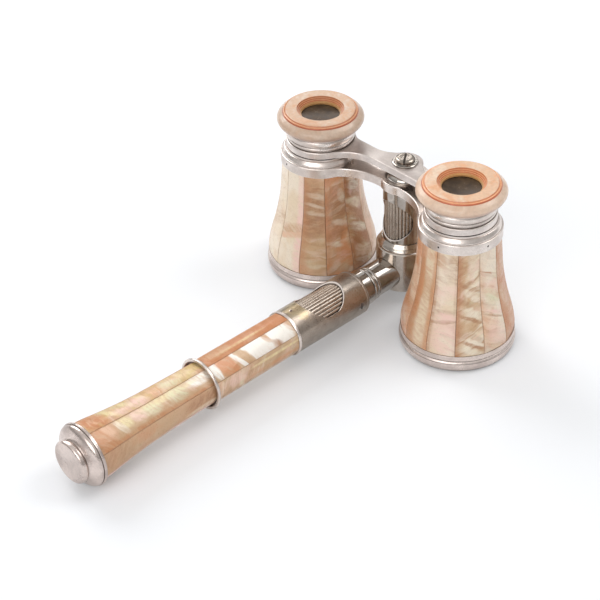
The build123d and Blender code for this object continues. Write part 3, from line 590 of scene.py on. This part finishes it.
upper_pearl = pearl_finish(
    "pearl_upper", upper_strip,
    ground=[amber, tan, peach, cream, tan, peach, sand, tan],
    second=[amber, peach, tan, tan, cream, tan, peach, sand],
    banding=[0.15, 0.5, 0.7, 0.6, 0.5, 0.7, 0.5, 0.6],
    hatching=[0.05, 0.1, 0.1, 0.1, 0.1, 0.1, 0.1, 0.2],
    painted_edge_shade=[0.1, 0.2, 0.2, 0.2, 0.2, 0.2, 0.1, 0.1], slant=0.4,
    # strip 0's long thin butter streak is a painted reflection; strip 7's white marks are painted highlights
    marks=[(0, 0.55, -0.1, 20, 1.2, 0.0, butter, 0.5), (0, 0.80, 0.1, 10, 4, 0.0, sand, 0.6),
           (7, 0.15, 0.1, 8, 8, 0.5, painted_flash_white, 1.9), (7, 0.27, -0.3, 4, 3, 0.4, brown, 0.9),
           (7, 0.43, 0.0, 10, 8, 0.5, painted_flash_white, 2.0), (7, 0.30, 0.3, 2.4, 4, 0.4, tan, 1.2),
           (7, 0.60, 0.0, 3, 9, 0.5, sand, 1.4), (7, 0.68, 0.0, 1.6, 10, 0.6, painted_flash_white, 1.9),
           (7, 0.80, 0.0, 7, 9, 0.4, orange, 1.2), (7, 0.95, 0.1, 3, 7, 0.2, painted_flash_white, 1.4),
           (6, 0.28, 0.2, 24, 1.0, 0.05, butter, 0.8), (6, 0.30, -0.3, 22, 1.5, 0.05, orange, 0.6),
           (6, 0.62, 0.1, 3, 7, 0.2, brown, 0.5), (6, 0.78, 0.1, 8, 4, 0.1, pink, 0.7)])
lower_pearl = pearl_finish(
    "pearl_lower", lower_strip,
    ground=[gold, amber, tan, peach, cream, pink, tan, sand],
    second=[peach, amber, peach, tan, tan, peach, sand, tan],
    banding=[0.5, 0.1, 0.6, 0.5, 0.7, 0.2, 0.05, 0.3],
    hatching=[0.45, 0.05, 0.1, 0.1, 0.1, 0.1, 0.08, 0.12],
    painted_edge_shade=[0.2, 0.1, 0.2, 0.2, 0.2, 0.2, 0.1, 0.1], slant=0.6,
    marks=[(0, 0.14, 0.0, 5, 7, 0.4, butter, 0.5), (0, 0.40, 0.0, 9, 7, 0.3, orange, 0.4),
           (0, 0.62, 0.1, 2.5, 5, 0.6, butter, 0.7), (0, 0.50, 0.1, 2.0, 5, 0.6, butter, 0.6),
           (0, 0.76, 0.0, 2.5, 6, 0.6, butter, 0.6), (0, 0.92, 0.0, 9, 9, 0.4, amber, 0.9),
           (0, 0.27, -0.1, 6, 5, 0.5, pale_green, 0.6), (0, 0.56, -0.1, 7, 5, 0.5, pink, 0.8),
           (0, 0.70, -0.2, 5, 4, 0.5, pink, 0.7), (0, 0.83, 0.2, 3, 4, 0.6, orange, 0.7),
           (7, 0.60, -0.3, 40, 4.0, 0.0, sand, 0.6), (7, 0.52, -0.48, 60, 2.6, 0.0, amber, 0.6),
           # the white mark on strip 7 is a painted highlight
           (7, 0.07, 0.2, 9, 4, 0.3, painted_flash_white, 0.95), (7, 0.38, 0.3, 26, 2.5, 0.1, butter, 0.7),
           (7, 0.28, 0.1, 7, 5, 0.3, pale_green, 0.7), (7, 0.50, 0.1, 7, 4, 0.4, pale_green, 0.6),
           (7, 0.60, 0.2, 5, 4, 0.4, pink, 0.7), (7, 0.72, 0.2, 5, 4, 0.5, butter, 0.8),
           (7, 0.77, 0.1, 2.4, 5, 0.5, ivory, 0.8), (7, 0.93, 0.0, 9, 9, 0.0, amber, 0.8),
           (7, 0.86, 0.2, 3.0, 6, 0.5, peach, 0.7),
           (6, 0.12, 0.0, 14, 6, 0.1, brown, 0.7), (6, 0.10, -0.4, 16, 2.0, 0.0, cream, 0.8),
           (6, 0.40, 0.1, 12, 5, 0.2, sand, 0.6), (6, 0.62, 0.2, 12, 4, 0.2, orange, 0.45),
           (6, 0.88, 0.1, 14, 8, 0.1, brown, 0.45)])
print("pearl finishes", [m.name for m in bpy.data.materials if m.name.startswith("pearl")])

# %% [markdown]
# ## The pearl cladding
# The makers sawed shell into tapering strips, bent nothing, and cemented the strips side by
# side round the tube, so each strip is a little flatter than the circle and the joints show as
# fine dark lines.  One rule makes all four claddings: a flat block, repeated once for each
# strip, is wrapped round the axis.  Its width is its share of the circle less the joint, its
# radius follows the outline of the flare, its middle is pressed a little flat, and its long
# edges are rounded over.  The helpers here are shared with the drums further down.

# %% Shape helpers
def shape_tree(name, count, sizes):
    """An empty geometry tree whose inputs are a count, some sizes and a finish."""
    tree = bpy.data.node_groups.new(name, "GeometryNodeTree")
    inputs = [("Geometry", "Geometry"), (count, "Int"), *[(size, "Float") for size in sizes],
              ("Finish", "Material")]
    for socket, kind in inputs:
        tree.interface.new_socket(socket, in_out="INPUT", socket_type="NodeSocket" + kind)
    tree.interface.new_socket("Geometry", in_out="OUTPUT", socket_type="NodeSocketGeometry")
    return tree, node(tree, "NodeGroupInput").outputs


def point_place(tree):
    place = node(tree, "GeometryNodeInputPosition").outputs[0]
    return node(tree, "ShaderNodeSeparateXYZ", {0: place}).outputs


def close_at_ends(tree, share):
    """0 to 1 again, with the rows of points closer together towards both ends."""
    return minus(tree, 0.5, times(tree, calc(tree, "COSINE", times(tree, share, pi)), 0.5))


def rounded_off(tree, rounding, from_edge):
    """How far a rounded edge falls below the surface."""
    inside = calc(tree, "MAXIMUM", minus(tree, rounding, from_edge), 0.0)
    squares = minus(tree, times(tree, rounding, rounding), times(tree, inside, inside))
    return minus(tree, rounding, calc(tree, "SQRT", squares))


def round_axis_place(tree, radius, turn, height):
    """A point round +Z as a vector."""
    return vector(tree, times(tree, radius, calc(tree, "COSINE", turn)),
                  times(tree, radius, calc(tree, "SINE", turn)), height)


def moved_to(tree, shape, place):
    """Work out every point's new place from its old one, then move them all at once."""
    capture = node(tree, "GeometryNodeCaptureAttribute", {"Geometry": shape})
    capture.capture_items.new("VECTOR", "Place")
    tree.links.new(place, capture.inputs["Place"])
    return node(tree, "GeometryNodeSetPosition", {"Geometry": capture.outputs[0],
                                                  "Position": capture.outputs["Place"]}).outputs[0]


def tree_ends(tree, shape, finish):
    shape = node(tree, "GeometryNodeSetShadeSmooth", {"Geometry": shape}).outputs[0]
    shape = node(tree, "GeometryNodeRealizeInstances", {0: shape}).outputs[0]
    shape = node(tree, "GeometryNodeSetMaterial", {"Geometry": shape, "Material": finish}).outputs[0]
    node(tree, "NodeGroupOutput", {"Geometry": shape})


print("shape helpers ready")


# %% Cladding tree
points_across, points_along = 15, 72


def cladding_tree(name, outline):
    """Strips round +Z.  outline gives the flare as (share of length, share of flare)."""
    tree, given = shape_tree(name, "Strips", ["First Seam", "Seam Gap", "Thickness", "Start", "Length",
                                              "Narrow Radius", "Wide Radius", "Flatness", "Rounding"])
    block = node(tree, "GeometryNodeMeshCube", {"Size": (1, 1, 1), "Vertices X": points_across,
                                                "Vertices Y": points_along, "Vertices Z": 2}).outputs[0]
    places = node(tree, "GeometryNodeMeshLine", {"Count": given["Strips"], "Offset": (2, 0, 0)}).outputs[0]
    copies = node(tree, "GeometryNodeInstanceOnPoints", {"Points": places, "Instance": block}).outputs[0]
    shape = node(tree, "GeometryNodeRealizeInstances", {0: copies}).outputs[0]

    place = point_place(tree)
    strip = calc(tree, "FLOOR", times(tree, plus(tree, place[0], 1.0), 0.5))
    across = plus(tree, minus(tree, place[0], times(tree, strip, 2.0)), 0.5)
    across = close_at_ends(tree, across)
    along = close_at_ends(tree, plus(tree, place[1], 0.5))
    outward = plus(tree, place[2], 0.5)

    curve = node(tree, "ShaderNodeFloatCurve", {"Value": along})
    points = curve.mapping.curves[0].points
    points[0].location, points[1].location = outline[0], outline[-1]
    for stop in outline[1:-1]:
        points.new(*stop)
    curve.mapping.update()
    flare = minus(tree, given["Wide Radius"], given["Narrow Radius"])
    radius = plus(tree, given["Narrow Radius"], times(tree, flare, curve.outputs[0]))

    share = over(tree, 2 * pi, given["Strips"])
    width = minus(tree, share, over(tree, given["Seam Gap"], radius))
    local = times(tree, minus(tree, across, 0.5), width)
    turn = plus(tree, plus(tree, given["First Seam"], local), times(tree, plus(tree, strip, 0.5), share))
    chord = over(tree, calc(tree, "COSINE", times(tree, width, 0.5)), calc(tree, "COSINE", local))
    pressed = minus(tree, 1.0, times(tree, given["Flatness"], minus(tree, 1.0, chord)))
    margin = times(tree, times(tree, to_edge(tree, across), width), radius)
    outer = minus(tree, times(tree, radius, pressed), rounded_off(tree, given["Rounding"], margin))
    inner = minus(tree, radius, given["Thickness"])
    final = plus(tree, inner, times(tree, minus(tree, outer, inner), outward))
    height = plus(tree, given["Start"], times(tree, along, given["Length"]))

    for word, value in (("strip", strip), ("across", across), ("along", along)):
        shape = node(tree, "GeometryNodeStoreNamedAttribute",
                     {"Geometry": shape, "Name": word, "Value": value},
                     data_type="FLOAT", domain="POINT").outputs[0]
    tree_ends(tree, moved_to(tree, shape, round_axis_place(tree, final, turn, height)), given["Finish"])
    return tree


print("cladding rule ready")

# %% [markdown]
# A tree is run once on an empty mesh, and its result is kept as a plain mesh that stands at the
# origin.  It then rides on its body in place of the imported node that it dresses.

# %% Growing a piece
def grown(name, tree, settings, place, body, replaced):
    """Run a geometry tree once, keep its mesh, put it in place and hand it to the frame."""
    seed = bpy.data.objects.new(name + "_seed", bpy.data.meshes.new(name + "_seed"))
    bpy.context.scene.collection.objects.link(seed)
    modifier = seed.modifiers.new("grow", "NODES")
    modifier.node_group = tree
    for item in tree.interface.items_tree:
        if item.in_out == "INPUT" and item.name in settings:
            modifier[item.identifier] = settings[item.name]
    bpy.context.view_layer.update()
    depsgraph = bpy.context.evaluated_depsgraph_get()
    mesh = bpy.data.meshes.new_from_object(seed.evaluated_get(depsgraph))
    bpy.data.objects.remove(seed)
    mesh.transform(place)
    mesh.name = name
    made = bpy.data.objects.new(name, mesh)
    bpy.context.scene.collection.objects.link(made)
    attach(made, body)
    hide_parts(replaced)
    for number in [n for n, kept in reversed(list(enumerate(mesh.materials))) if kept is None]:
        mesh.materials.pop(index=number)
    print(name, len(mesh.vertices), "vertices", len(mesh.polygons), "faces", mesh.materials[:],
          "material numbers", sorted({face.material_index for face in mesh.polygons}))


print("ready to grow")

# %% [markdown]
# The barrels widen in a bell towards the objective rims.  Seen from above the two barrels
# mirror each other, so the first joint of one is the mirror of the other's.

# %% Barrel cladding
seam_gap = 0.035 * mm
bell = [(0.0, 0.99), (0.045, 1.0), (0.124, 0.944), (0.2275, 0.796), (0.3455, 0.574),
        (0.5506, 0.278), (0.677, 0.157), (0.8455, 0.065), (1.0, 0.0)]
barrel_tree = cladding_tree("barrel_cladding", bell)
barrel_sizes = {"Strips": barrel_strips, "Seam Gap": seam_gap, "Thickness": 0.9 * mm, "Start": pearl_low.z,
                "Length": pearl_high.z - pearl_low.z, "Narrow Radius": 13.0 * mm,
                "Wide Radius": 18.4 * mm, "Flatness": 0.35, "Rounding": 0.15 * mm}
for side, first_seam, finish in (("left", 170, left_pearl), ("right", 10, right_pearl)):
    axis = barrel_axis[side]
    grown("pearl_strips_" + side, barrel_tree,
          barrel_sizes | {"First Seam": radians(first_seam), "Finish": finish},
          Matrix.Translation((axis.x, axis.y, 0)), "glasses", "pearl_" + side)

# %% [markdown]
# The handle's two grips are clad the same way, with eight strips.  They are made round +Z and
# then laid down: +Z goes down the handle and +Y goes up.

# %% Handle cladding
down_the_handle = Matrix.Translation((0, 0, handle_axis.z)) @ Matrix.Rotation(pi / 2, 4, "X")
grip_radius = grip_middle * mm
grip_sizes = {"Strips": grip_strips, "First Seam": radians(90 - 18), "Seam Gap": seam_gap,
              "Flatness": 0.5, "Rounding": 0.12 * mm}
upper_sizes = {"Thickness": 0.7 * mm, "Start": -grip_high.y, "Length": grip_high.y - grip_low.y,
               "Narrow Radius": grip_radius, "Wide Radius": grip_radius + 0.2 * mm, "Finish": upper_pearl}
grown("pearl_grip_upper", cladding_tree("upper_grip_cladding", [(0.0, 0.0), (1.0, 1.0)]),
      grip_sizes | upper_sizes, down_the_handle, "glasses", "upper_pearl")

trumpet = [(0.0, 0.0), (0.15, 0.04), (0.31, 0.11), (0.45, 0.18), (0.575, 0.28),
           (0.7, 0.46), (0.835, 0.71), (0.92, 0.89), (1.0, 1.0)]
lower_sizes = {"Thickness": 0.6 * mm, "Start": -lower_high.y, "Length": lower_high.y - lower_low.y,
               "Narrow Radius": grip_radius - 0.1 * mm, "Wide Radius": 9.95 * mm, "Finish": lower_pearl}
grown("pearl_grip_lower", cladding_tree("lower_grip_cladding", trumpet),
      grip_sizes | lower_sizes, down_the_handle, "lower_grip", "lower_pearl")

# %% [markdown]
# ## Metals
# All the metal is plated brass, old and handled.  Ambient occlusion over about a millimetre
# darkens every groove and joint, partly grime and partly painted shade.  The same measure taken
# inside the metal finds its sharp edges, which are lightened, partly worn bright by handling and
# partly a painted highlight.

# %% Dirt, wear, painted shade and painted edge highlights
bright_edge, rubbed_and_highlit_edge = paint(250, 244, 240), paint(236, 222, 210)
window_edge, painted_top_shade = paint(246, 234, 226), paint(158, 146, 140)
silver_dirt_and_shade, nickel_dirt_and_shade = paint(84, 66, 56), paint(46, 37, 31)
dirt_and_shade_cover, dirt_roughness = 0.85, 0.3


def grime_and_shade(tree, reach_mm):
    """1 in grooves and joints, 0 on open surface."""
    return span(tree, openness(tree, reach_mm), 0.85, 0.35)


def worn_and_highlit_edge(tree, reach_mm):
    """1 on sharp outer edges."""
    return span(tree, openness(tree, reach_mm, inside=True), 0.80, 0.45)


def dirtied_and_shaded(tree, colour, dirt_and_shade, shade):
    return blend(tree, times(tree, dirt_and_shade, dirt_and_shade_cover), colour, shade)


def plate(tree, shader, colour, rough, dirt_and_shade, bumps):
    """A metal surface that is rougher where the mask of dirt and painted shade is."""
    rough = plus(tree, rough, times(tree, dirt_and_shade, dirt_roughness))
    set_shader(tree, shader, Base_Color=colour, Metallic=1.0, Roughness=rough, Normal=bumps)


print("dirt and wear ready")

# %% [markdown]
# The rims, bridges, rings and end cap are silver with a fine matt grain, darkened to brown in the
# corners with grime and painted shade, and the flat tops of the bridge are greyed with painted
# shade.  The rims were turned with lines too fine to cut here, so those are darkened by height
# with dirt and painted shade, and the lowest one is a painted contact shadow where the rim
# stands on the table.

# %% Silver finish
def silver_finish(name, bright, dull, top_shade=0.0, smooth=0.25, lines=()):
    """Satin silver plate.  top_shade greys flat tops with painted shade, smooth is its least
    roughness, and lines are (height, half width, strength) of turned lines darkened with dirt and
    painted shade."""
    made, tree, shader = finish_named(name)
    place, _, _, z = millimetres(tree)
    grain = noise(tree, place, 1.9, 3.0, 0.7)
    patch = noise(tree, place, 0.16, 3.0, 0.55)
    colour = blend(tree, span(tree, patch, 0.35, 0.65), paint(*bright), paint(*dull))
    colour = brighten(tree, colour, span(tree, grain, 0.3, 0.7, 0.93, 1.05))
    # flat tops facing up are greyed with painted shade
    shaded_flat_top = span(tree, facing_up(tree), 0.96, 0.995, 0.0, top_shade)
    colour = blend(tree, shaded_flat_top, colour, painted_top_shade)
    # sharp edges lightened: partly wear, partly a painted highlight
    colour = blend(tree, times(tree, worn_and_highlit_edge(tree, 0.30), 0.8), colour, bright_edge)
    # grooves and corners darkened: partly grime, partly painted shade
    dirt_and_shade = grime_and_shade(tree, 0.9)
    for height, half_width, strength in lines:
        off = unsigned(tree, minus(tree, z, height))
        turned = span(tree, off, half_width + 0.07, half_width, 0.0, strength)
        dirt_and_shade = calc(tree, "MAXIMUM", dirt_and_shade, turned)
    rough = span(tree, patch, 0.3, 0.7, smooth, smooth + 0.12)
    plate(tree, shader, dirtied_and_shaded(tree, colour, dirt_and_shade, silver_dirt_and_shade), rough, dirt_and_shade, relief(tree, 0.35, 0.06, grain))
    return made


# the two upper rim lines are fine turned grooves darkened with dirt and painted shade; the line at 0.10 mm
# is a painted contact shadow where the rim meets the table
rim_lines = [(3.96, 0.10, 0.9), (3.05, 0.05, 0.7), (0.10, 0.28, 0.8)]
satin_silver = silver_finish("satin_silver", (226, 216, 209), (205, 194, 187))
bridge_silver = silver_finish("bridge_silver", (226, 217, 211), (206, 196, 190), 0.40, smooth=0.30)
rim_silver = silver_finish("rim_silver", (228, 214, 206), (206, 192, 185), lines=rim_lines)
cap_silver = silver_finish("cap_silver", (220, 205, 197), (190, 176, 169), smooth=0.19)
print("silver ready")

# %% [markdown]
# The post, hub and neck are polished nickel, which mirrors the softboxes as sharp stripes.  The
# ferrule and drums are matt nickel, rubbed through to a yellowish tone beside the window.  The
# bright cut edge of a window is found by its distance from the tube's axis, and the slot of the
# screw, darkened with dirt and painted shade, by its direction.  Bare brass, seen only inside, is
# the same recipe in another colour.

# %% Nickel finish
def nickel_finish(name, bright, dull, smooth, worn=None, edge_wear_and_highlight=0.6, window=None, slot=None):
    """Old nickel plate.  smooth is its least roughness and edge_wear_and_highlight the brightness of
    its sharp edges, partly wear and partly a painted highlight.  worn is (centre, reach, colour) of
    a place rubbed through to the brass, window is (centre, mask of the cross-section, radius) of a
    tube with a window, whose cut edges lie inside that radius and are bright, and slot is (centre,
    turn, width) of a screw slot darkened with dirt and painted shade."""
    made, tree, shader = finish_named(name)
    place, x, y, _ = millimetres(tree)
    grain = noise(tree, place, 2.4, 4.0, 0.7)
    patch = noise(tree, place, 0.28, 4.0, 0.6, 0.6)
    colour = blend(tree, span(tree, patch, 0.20, 0.80), paint(*bright), paint(*dull))
    if worn:
        centre, size, shade = worn
        ragged = plus(tree, apart(tree, place, centre), times(tree, minus(tree, patch, 0.5), 9.0))
        colour = blend(tree, span(tree, ragged, size, size * 0.45, 0.0, 0.85), colour, paint(*shade))
    # sharp edges lightened: partly wear, partly a painted highlight
    colour = blend(tree, times(tree, worn_and_highlit_edge(tree, 0.18), edge_wear_and_highlight), colour, rubbed_and_highlit_edge)
    if window:
        centre, section, radius = window
        out = apart(tree, scaled_by(tree, place, section), centre)
        cut = times(tree, span(tree, out, radius - 0.06, radius - 0.16),
                    span(tree, out, radius - 1.1, radius - 0.9))
        colour = blend(tree, times(tree, cut, 0.9), colour, window_edge)
    # grooves and corners darkened: partly grime, partly painted shade
    dirt_and_shade = grime_and_shade(tree, 0.8)
    # the screw slot is darkened with dirt and painted shade
    if slot:
        centre, turn, width = slot
        beside = plus(tree, times(tree, minus(tree, x, centre.x / mm), cos(turn)),
                      times(tree, minus(tree, y, centre.y / mm), sin(turn)))
        sunk = span(tree, unsigned(tree, beside), width / 2 + 0.06, width / 2 - 0.04)
        dirt_and_shade = calc(tree, "MAXIMUM", dirt_and_shade, sunk)
    rough = span(tree, grain, 0.3, 0.7, smooth, smooth + 0.10)
    plate(tree, shader, dirtied_and_shaded(tree, colour, dirt_and_shade, nickel_dirt_and_shade), rough, dirt_and_shade, relief(tree, 0.2, 0.05, grain))
    return made


def half_width_of(name):
    low, high = box_of(name)
    return (high / mm - low / mm).x / 2


pin_high = box_of("ferrule_pin")[1]
rubbed_through = ((0, pin_high.y / mm + 1.5, pin_high.z / mm), 6.0, (180, 162, 130))
post_window = ((0, post_axis.y / mm, 0), (1, 1, 0), half_width_of("post_housing"))
ferrule_window = ((0, 0, handle_axis.z / mm), (1, 0, 1), half_width_of("ferrule"))
screw_slot = (post_axis, radians(37), 0.7)
polished = (186, 179, 172), (156, 148, 140), 0.05

dark_nickel = nickel_finish("dark_nickel", *polished)
hub_nickel = nickel_finish("hub_nickel", (216, 207, 198), (176, 165, 154), 0.11)
post_nickel = nickel_finish("post_nickel", *polished, window=post_window)
satin_nickel = nickel_finish("satin_nickel", (172, 161, 150), (148, 137, 127), 0.26, rubbed_through,
                             window=ferrule_window)
drum_nickel = nickel_finish("drum_nickel", (186, 175, 164), (164, 152, 140), 0.24)
screw_nickel = nickel_finish("screw_nickel", (176, 166, 156), (146, 136, 126), 0.14, edge_wear_and_highlight=0.0,
                             slot=screw_slot)
brass = nickel_finish("brass", (184, 150, 92), (150, 116, 66), 0.22)
print("nickel and brass ready")

# %% [markdown]
# ## Turned pearl eyecups
# The eyecups are turned from thick shell: warm cream on the flat face and paler round the belly,
# with orange-brown dirt in every turned groove, and their undersides are greyed to pink with
# painted shade.  The left one is darker.

# %% Eyecup finish
eyecup_low, eyecup_high = [corner / mm for corner in box_of("eyecup_right")]
eyecup_reach = (eyecup_high.x - eyecup_low.x) / 2
well_reach, well_down, well_steps = 8.4, 1.8, 4
left_tone, right_tone = 0.81, 1.02
groove_span = 4.0
groove_stops = [(1.80, 0), (1.90, 1), (2.08, 1), (2.18, 0), (2.62, 0), (2.68, 0.7), (2.80, 0.7), (2.90, 0)]


def eyecup_finish():
    """Turned pearl, by distance inward from the eyecup's rim and down from its face, in mm."""
    made, tree, shader = finish_named("eyecup_pearl")
    place, x, y, z = millimetres(tree)
    beside = minus(tree, unsigned(tree, x), barrel_axis["right"].x / mm)
    behind = minus(tree, y, barrel_axis["right"].y / mm)
    radius = hypotenuse(tree, beside, behind)
    down = minus(tree, eyecup_high.z, z)
    inward = minus(tree, eyecup_reach, radius)
    cloud = noise(tree, place, 0.20, 3.0, 0.55, 0.8)
    fleck = noise(tree, place, 1.1, 3.0, 0.6)

    face = ramp(tree, cloud, [(0.32, paint(228, 172, 130)), (0.5, paint(229, 188, 154)),
                              (0.68, paint(234, 206, 181))])
    belly = ramp(tree, cloud, [(0.30, paint(218, 184, 157)), (0.72, paint(228, 202, 180))])
    colour = blend(tree, span(tree, inward, 1.7, 2.1), belly, face)
    band = times(tree, span(tree, inward, 1.9, 2.1), span(tree, inward, 2.9, 2.7))
    colour = blend(tree, times(tree, band, 0.7), colour, paint(236, 162, 106))
    groove = ramp(tree, over(tree, inward, groove_span),
                  [(at / groove_span, grey(depth)) for at, depth in groove_stops], "LINEAR")
    colour = blend(tree, times(tree, groove, 0.85), colour, paint(198, 96, 58))

    step = calc(tree, "SINE", times(tree, down, 2 * pi * well_steps / well_down))
    well = blend(tree, span(tree, step, -0.5, 0.5), paint(206, 112, 70), paint(238, 182, 134))
    well = blend(tree, span(tree, down, well_down * 0.72, well_down * 0.85), well, paint(212, 162, 104))
    inside = times(tree, span(tree, radius, well_reach + 0.3, well_reach), span(tree, down, 0.02, 0.12))
    colour = blend(tree, inside, colour, well)

    colour = brighten(tree, colour, span(tree, x, -0.02, 0.02, left_tone, right_tone))
    # surfaces facing down are greyed with painted shade
    painted_shade_beneath = span(tree, facing_up(tree), 0.1, -0.7, 0.0, 0.8)
    colour = blend(tree, painted_shade_beneath, colour, paint(190, 160, 144))
    colour = brighten(tree, colour, span(tree, fleck, 0.3, 0.7, 0.94, 1.04))
    set_shader(tree, shader, Base_Color=colour, Metallic=0.05, Roughness=0.34,
               Normal=relief(tree, 0.3, 0.1, fleck), Coat_Weight=0.25, Coat_Roughness=0.12)
    return made


eyecup_pearl = eyecup_finish()
print("eyecups reach", round(eyecup_reach, 2), "mm")

# %% [markdown]
# ## Lenses, and every node's finish
# The lenses look dark because the barrel behind them is: a dark brown surface with a brown
# gloss, its colour the painted shade inside the barrel, stands in for clear glass.  Each imported
# node then gets the finish of its material slot, or its own where one piece of a plating has aged
# in another way.

# %% Lenses, and every node's finish
def lens_finish():
    made, tree, shader = finish_named("lens_glass")
    haze = noise(tree, millimetres(tree)[0], 0.35, 3.0, 0.6)
    # the dark brown is painted shade from inside the barrel
    colour = ramp(tree, haze, [(0.3, paint(54, 42, 30)), (0.7, paint(78, 63, 46))])
    set_shader(tree, shader, Base_Color=colour, Roughness=span(tree, haze, 0.3, 0.7, 0.20, 0.28),
               IOR=1.4, Specular_Tint=paint(203, 174, 154))
    return made


finishes = {"pearl": right_pearl, "eyecup_pearl": eyecup_pearl, "satin_silver": satin_silver,
            "dark_nickel": dark_nickel, "satin_nickel": satin_nickel, "brass": brass,
            "lens_glass": lens_finish()}
own_finish = {"objective_rim_left": rim_silver, "objective_rim_right": rim_silver,
              "upper_bridge": bridge_silver, "end_cap": cap_silver, "cap_button": cap_silver,
              "bridge_screw": screw_nickel, "hub": hub_nickel, "post_housing": post_nickel,
              "focus_drum": drum_nickel, "handle_drum": drum_nickel}
for piece in frame["record"]["subparts"]:
    name = piece["node"]
    mesh = frame["nodes"][name].data
    mesh.materials.clear()
    mesh.materials.append(own_finish.get(name, finishes[piece["material_slot"]]))
print("finishes", sorted(finishes), "and its own for", sorted(own_finish))

# %% [markdown]
# ## The ribbed drums
# Turning either drum focuses the glasses.  Each is a knurled roller: rounded ribs run along
# it, with narrow dirty grooves between them, and its ends are rounded over so that the thumb
# runs off them.  One rule makes both: a cylinder whose radius follows the ribs.

# %% Drum tree
points_per_rib, roller_rows, spindle_sides = 12, 24, 48


def drum_tree():
    """A ribbed roller round +Z, with a plain spindle at one end."""
    tree, given = shape_tree("ribbed_drum", "Ribs", ["Radius", "Rib Depth", "Low", "High", "End Rounding",
                                                     "Spindle Radius", "Spindle From", "Spindle To"])
    length = minus(tree, given["High"], given["Low"])
    vertices = times(tree, given["Ribs"], points_per_rib)
    roller = node(tree, "GeometryNodeMeshCylinder", {"Vertices": vertices, "Side Segments": roller_rows,
                                                     "Radius": 1.0, "Depth": 1.0},
                  fill_type="TRIANGLE_FAN").outputs["Mesh"]
    place = point_place(tree)
    turn = calc(tree, "ARCTAN2", place[1], place[0])
    rib = calc(tree, "FRACT", over(tree, times(tree, turn, given["Ribs"]), 2 * pi))
    from_crest = unsigned(tree, times(tree, minus(tree, rib, 0.5), 2.0))
    crest = calc(tree, "SQRT", minus(tree, 1.0, calc(tree, "POWER", from_crest, 2.4)))
    groove = times(tree, minus(tree, 1.0, crest), given["Rib Depth"])
    height = times(tree, close_at_ends(tree, plus(tree, place[2], 0.5)), length)
    to_end = calc(tree, "MINIMUM", height, minus(tree, length, height))
    drop = rounded_off(tree, given["End Rounding"], to_end)
    radius = minus(tree, minus(tree, given["Radius"], groove), drop)
    radius = times(tree, radius, hypotenuse(tree, place[0], place[1]))
    height = plus(tree, given["Low"], height)
    roller = moved_to(tree, roller, round_axis_place(tree, radius, turn, height))

    spindle_length = minus(tree, given["Spindle To"], given["Spindle From"])
    spindle = node(tree, "GeometryNodeMeshCylinder", {"Vertices": spindle_sides, "Depth": spindle_length,
                                                      "Radius": given["Spindle Radius"]}).outputs["Mesh"]
    middle = times(tree, plus(tree, given["Spindle To"], given["Spindle From"]), 0.5)
    spindle = node(tree, "GeometryNodeTransform", {"Geometry": spindle,
                                                   "Translation": vector(tree, 0, 0, middle)}).outputs[0]
    both = node(tree, "GeometryNodeJoinGeometry")
    tree.links.new(spindle, both.inputs[0])
    tree.links.new(roller, both.inputs[0])
    tree_ends(tree, both.outputs[0], given["Finish"])
    return tree


print("drum rule ready")

# %% [markdown]
# The post drum stands between its bush and the cap, and the finger drum lies between the neck
# and the joint of the grip.  Each keeps a small running gap at its bushed end, where a spindle
# as long as the drum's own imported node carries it.

# %% Post drum and finger drum
roller_tree = drum_tree()
running_gap, spindle_overlap = 0.2 * mm, 1 * mm
drum_sizes = {"Ribs": 34, "Rib Depth": 0.42 * mm, "End Rounding": 0.5 * mm, "Spindle Radius": 2.5 * mm,
              "Finish": drum_nickel}

post_low, post_high = box_of("focus_drum")
post_drum_low = box_of("drum_bush")[1].z + running_gap
grown("post_drum_ribs", roller_tree,
      drum_sizes | {"Radius": (post_high.x - post_low.x) / 2, "Low": post_drum_low, "High": post_high.z,
                    "Spindle From": post_low.z, "Spindle To": post_drum_low + spindle_overlap},
      Matrix.Translation((0, post_axis.y, 0)), "post_drum", "focus_drum")

finger_low, finger_high = box_of("handle_drum")
finger_drum_end = -box_of("grip_joint")[1].y - running_gap
grown("finger_drum_ribs", roller_tree,
      drum_sizes | {"Radius": (finger_high.x - finger_low.x) / 2, "Low": -finger_high.y,
                    "High": finger_drum_end, "Spindle From": finger_drum_end - spindle_overlap,
                    "Spindle To": -finger_low.y},
      down_the_handle, "finger_drum", "handle_drum")
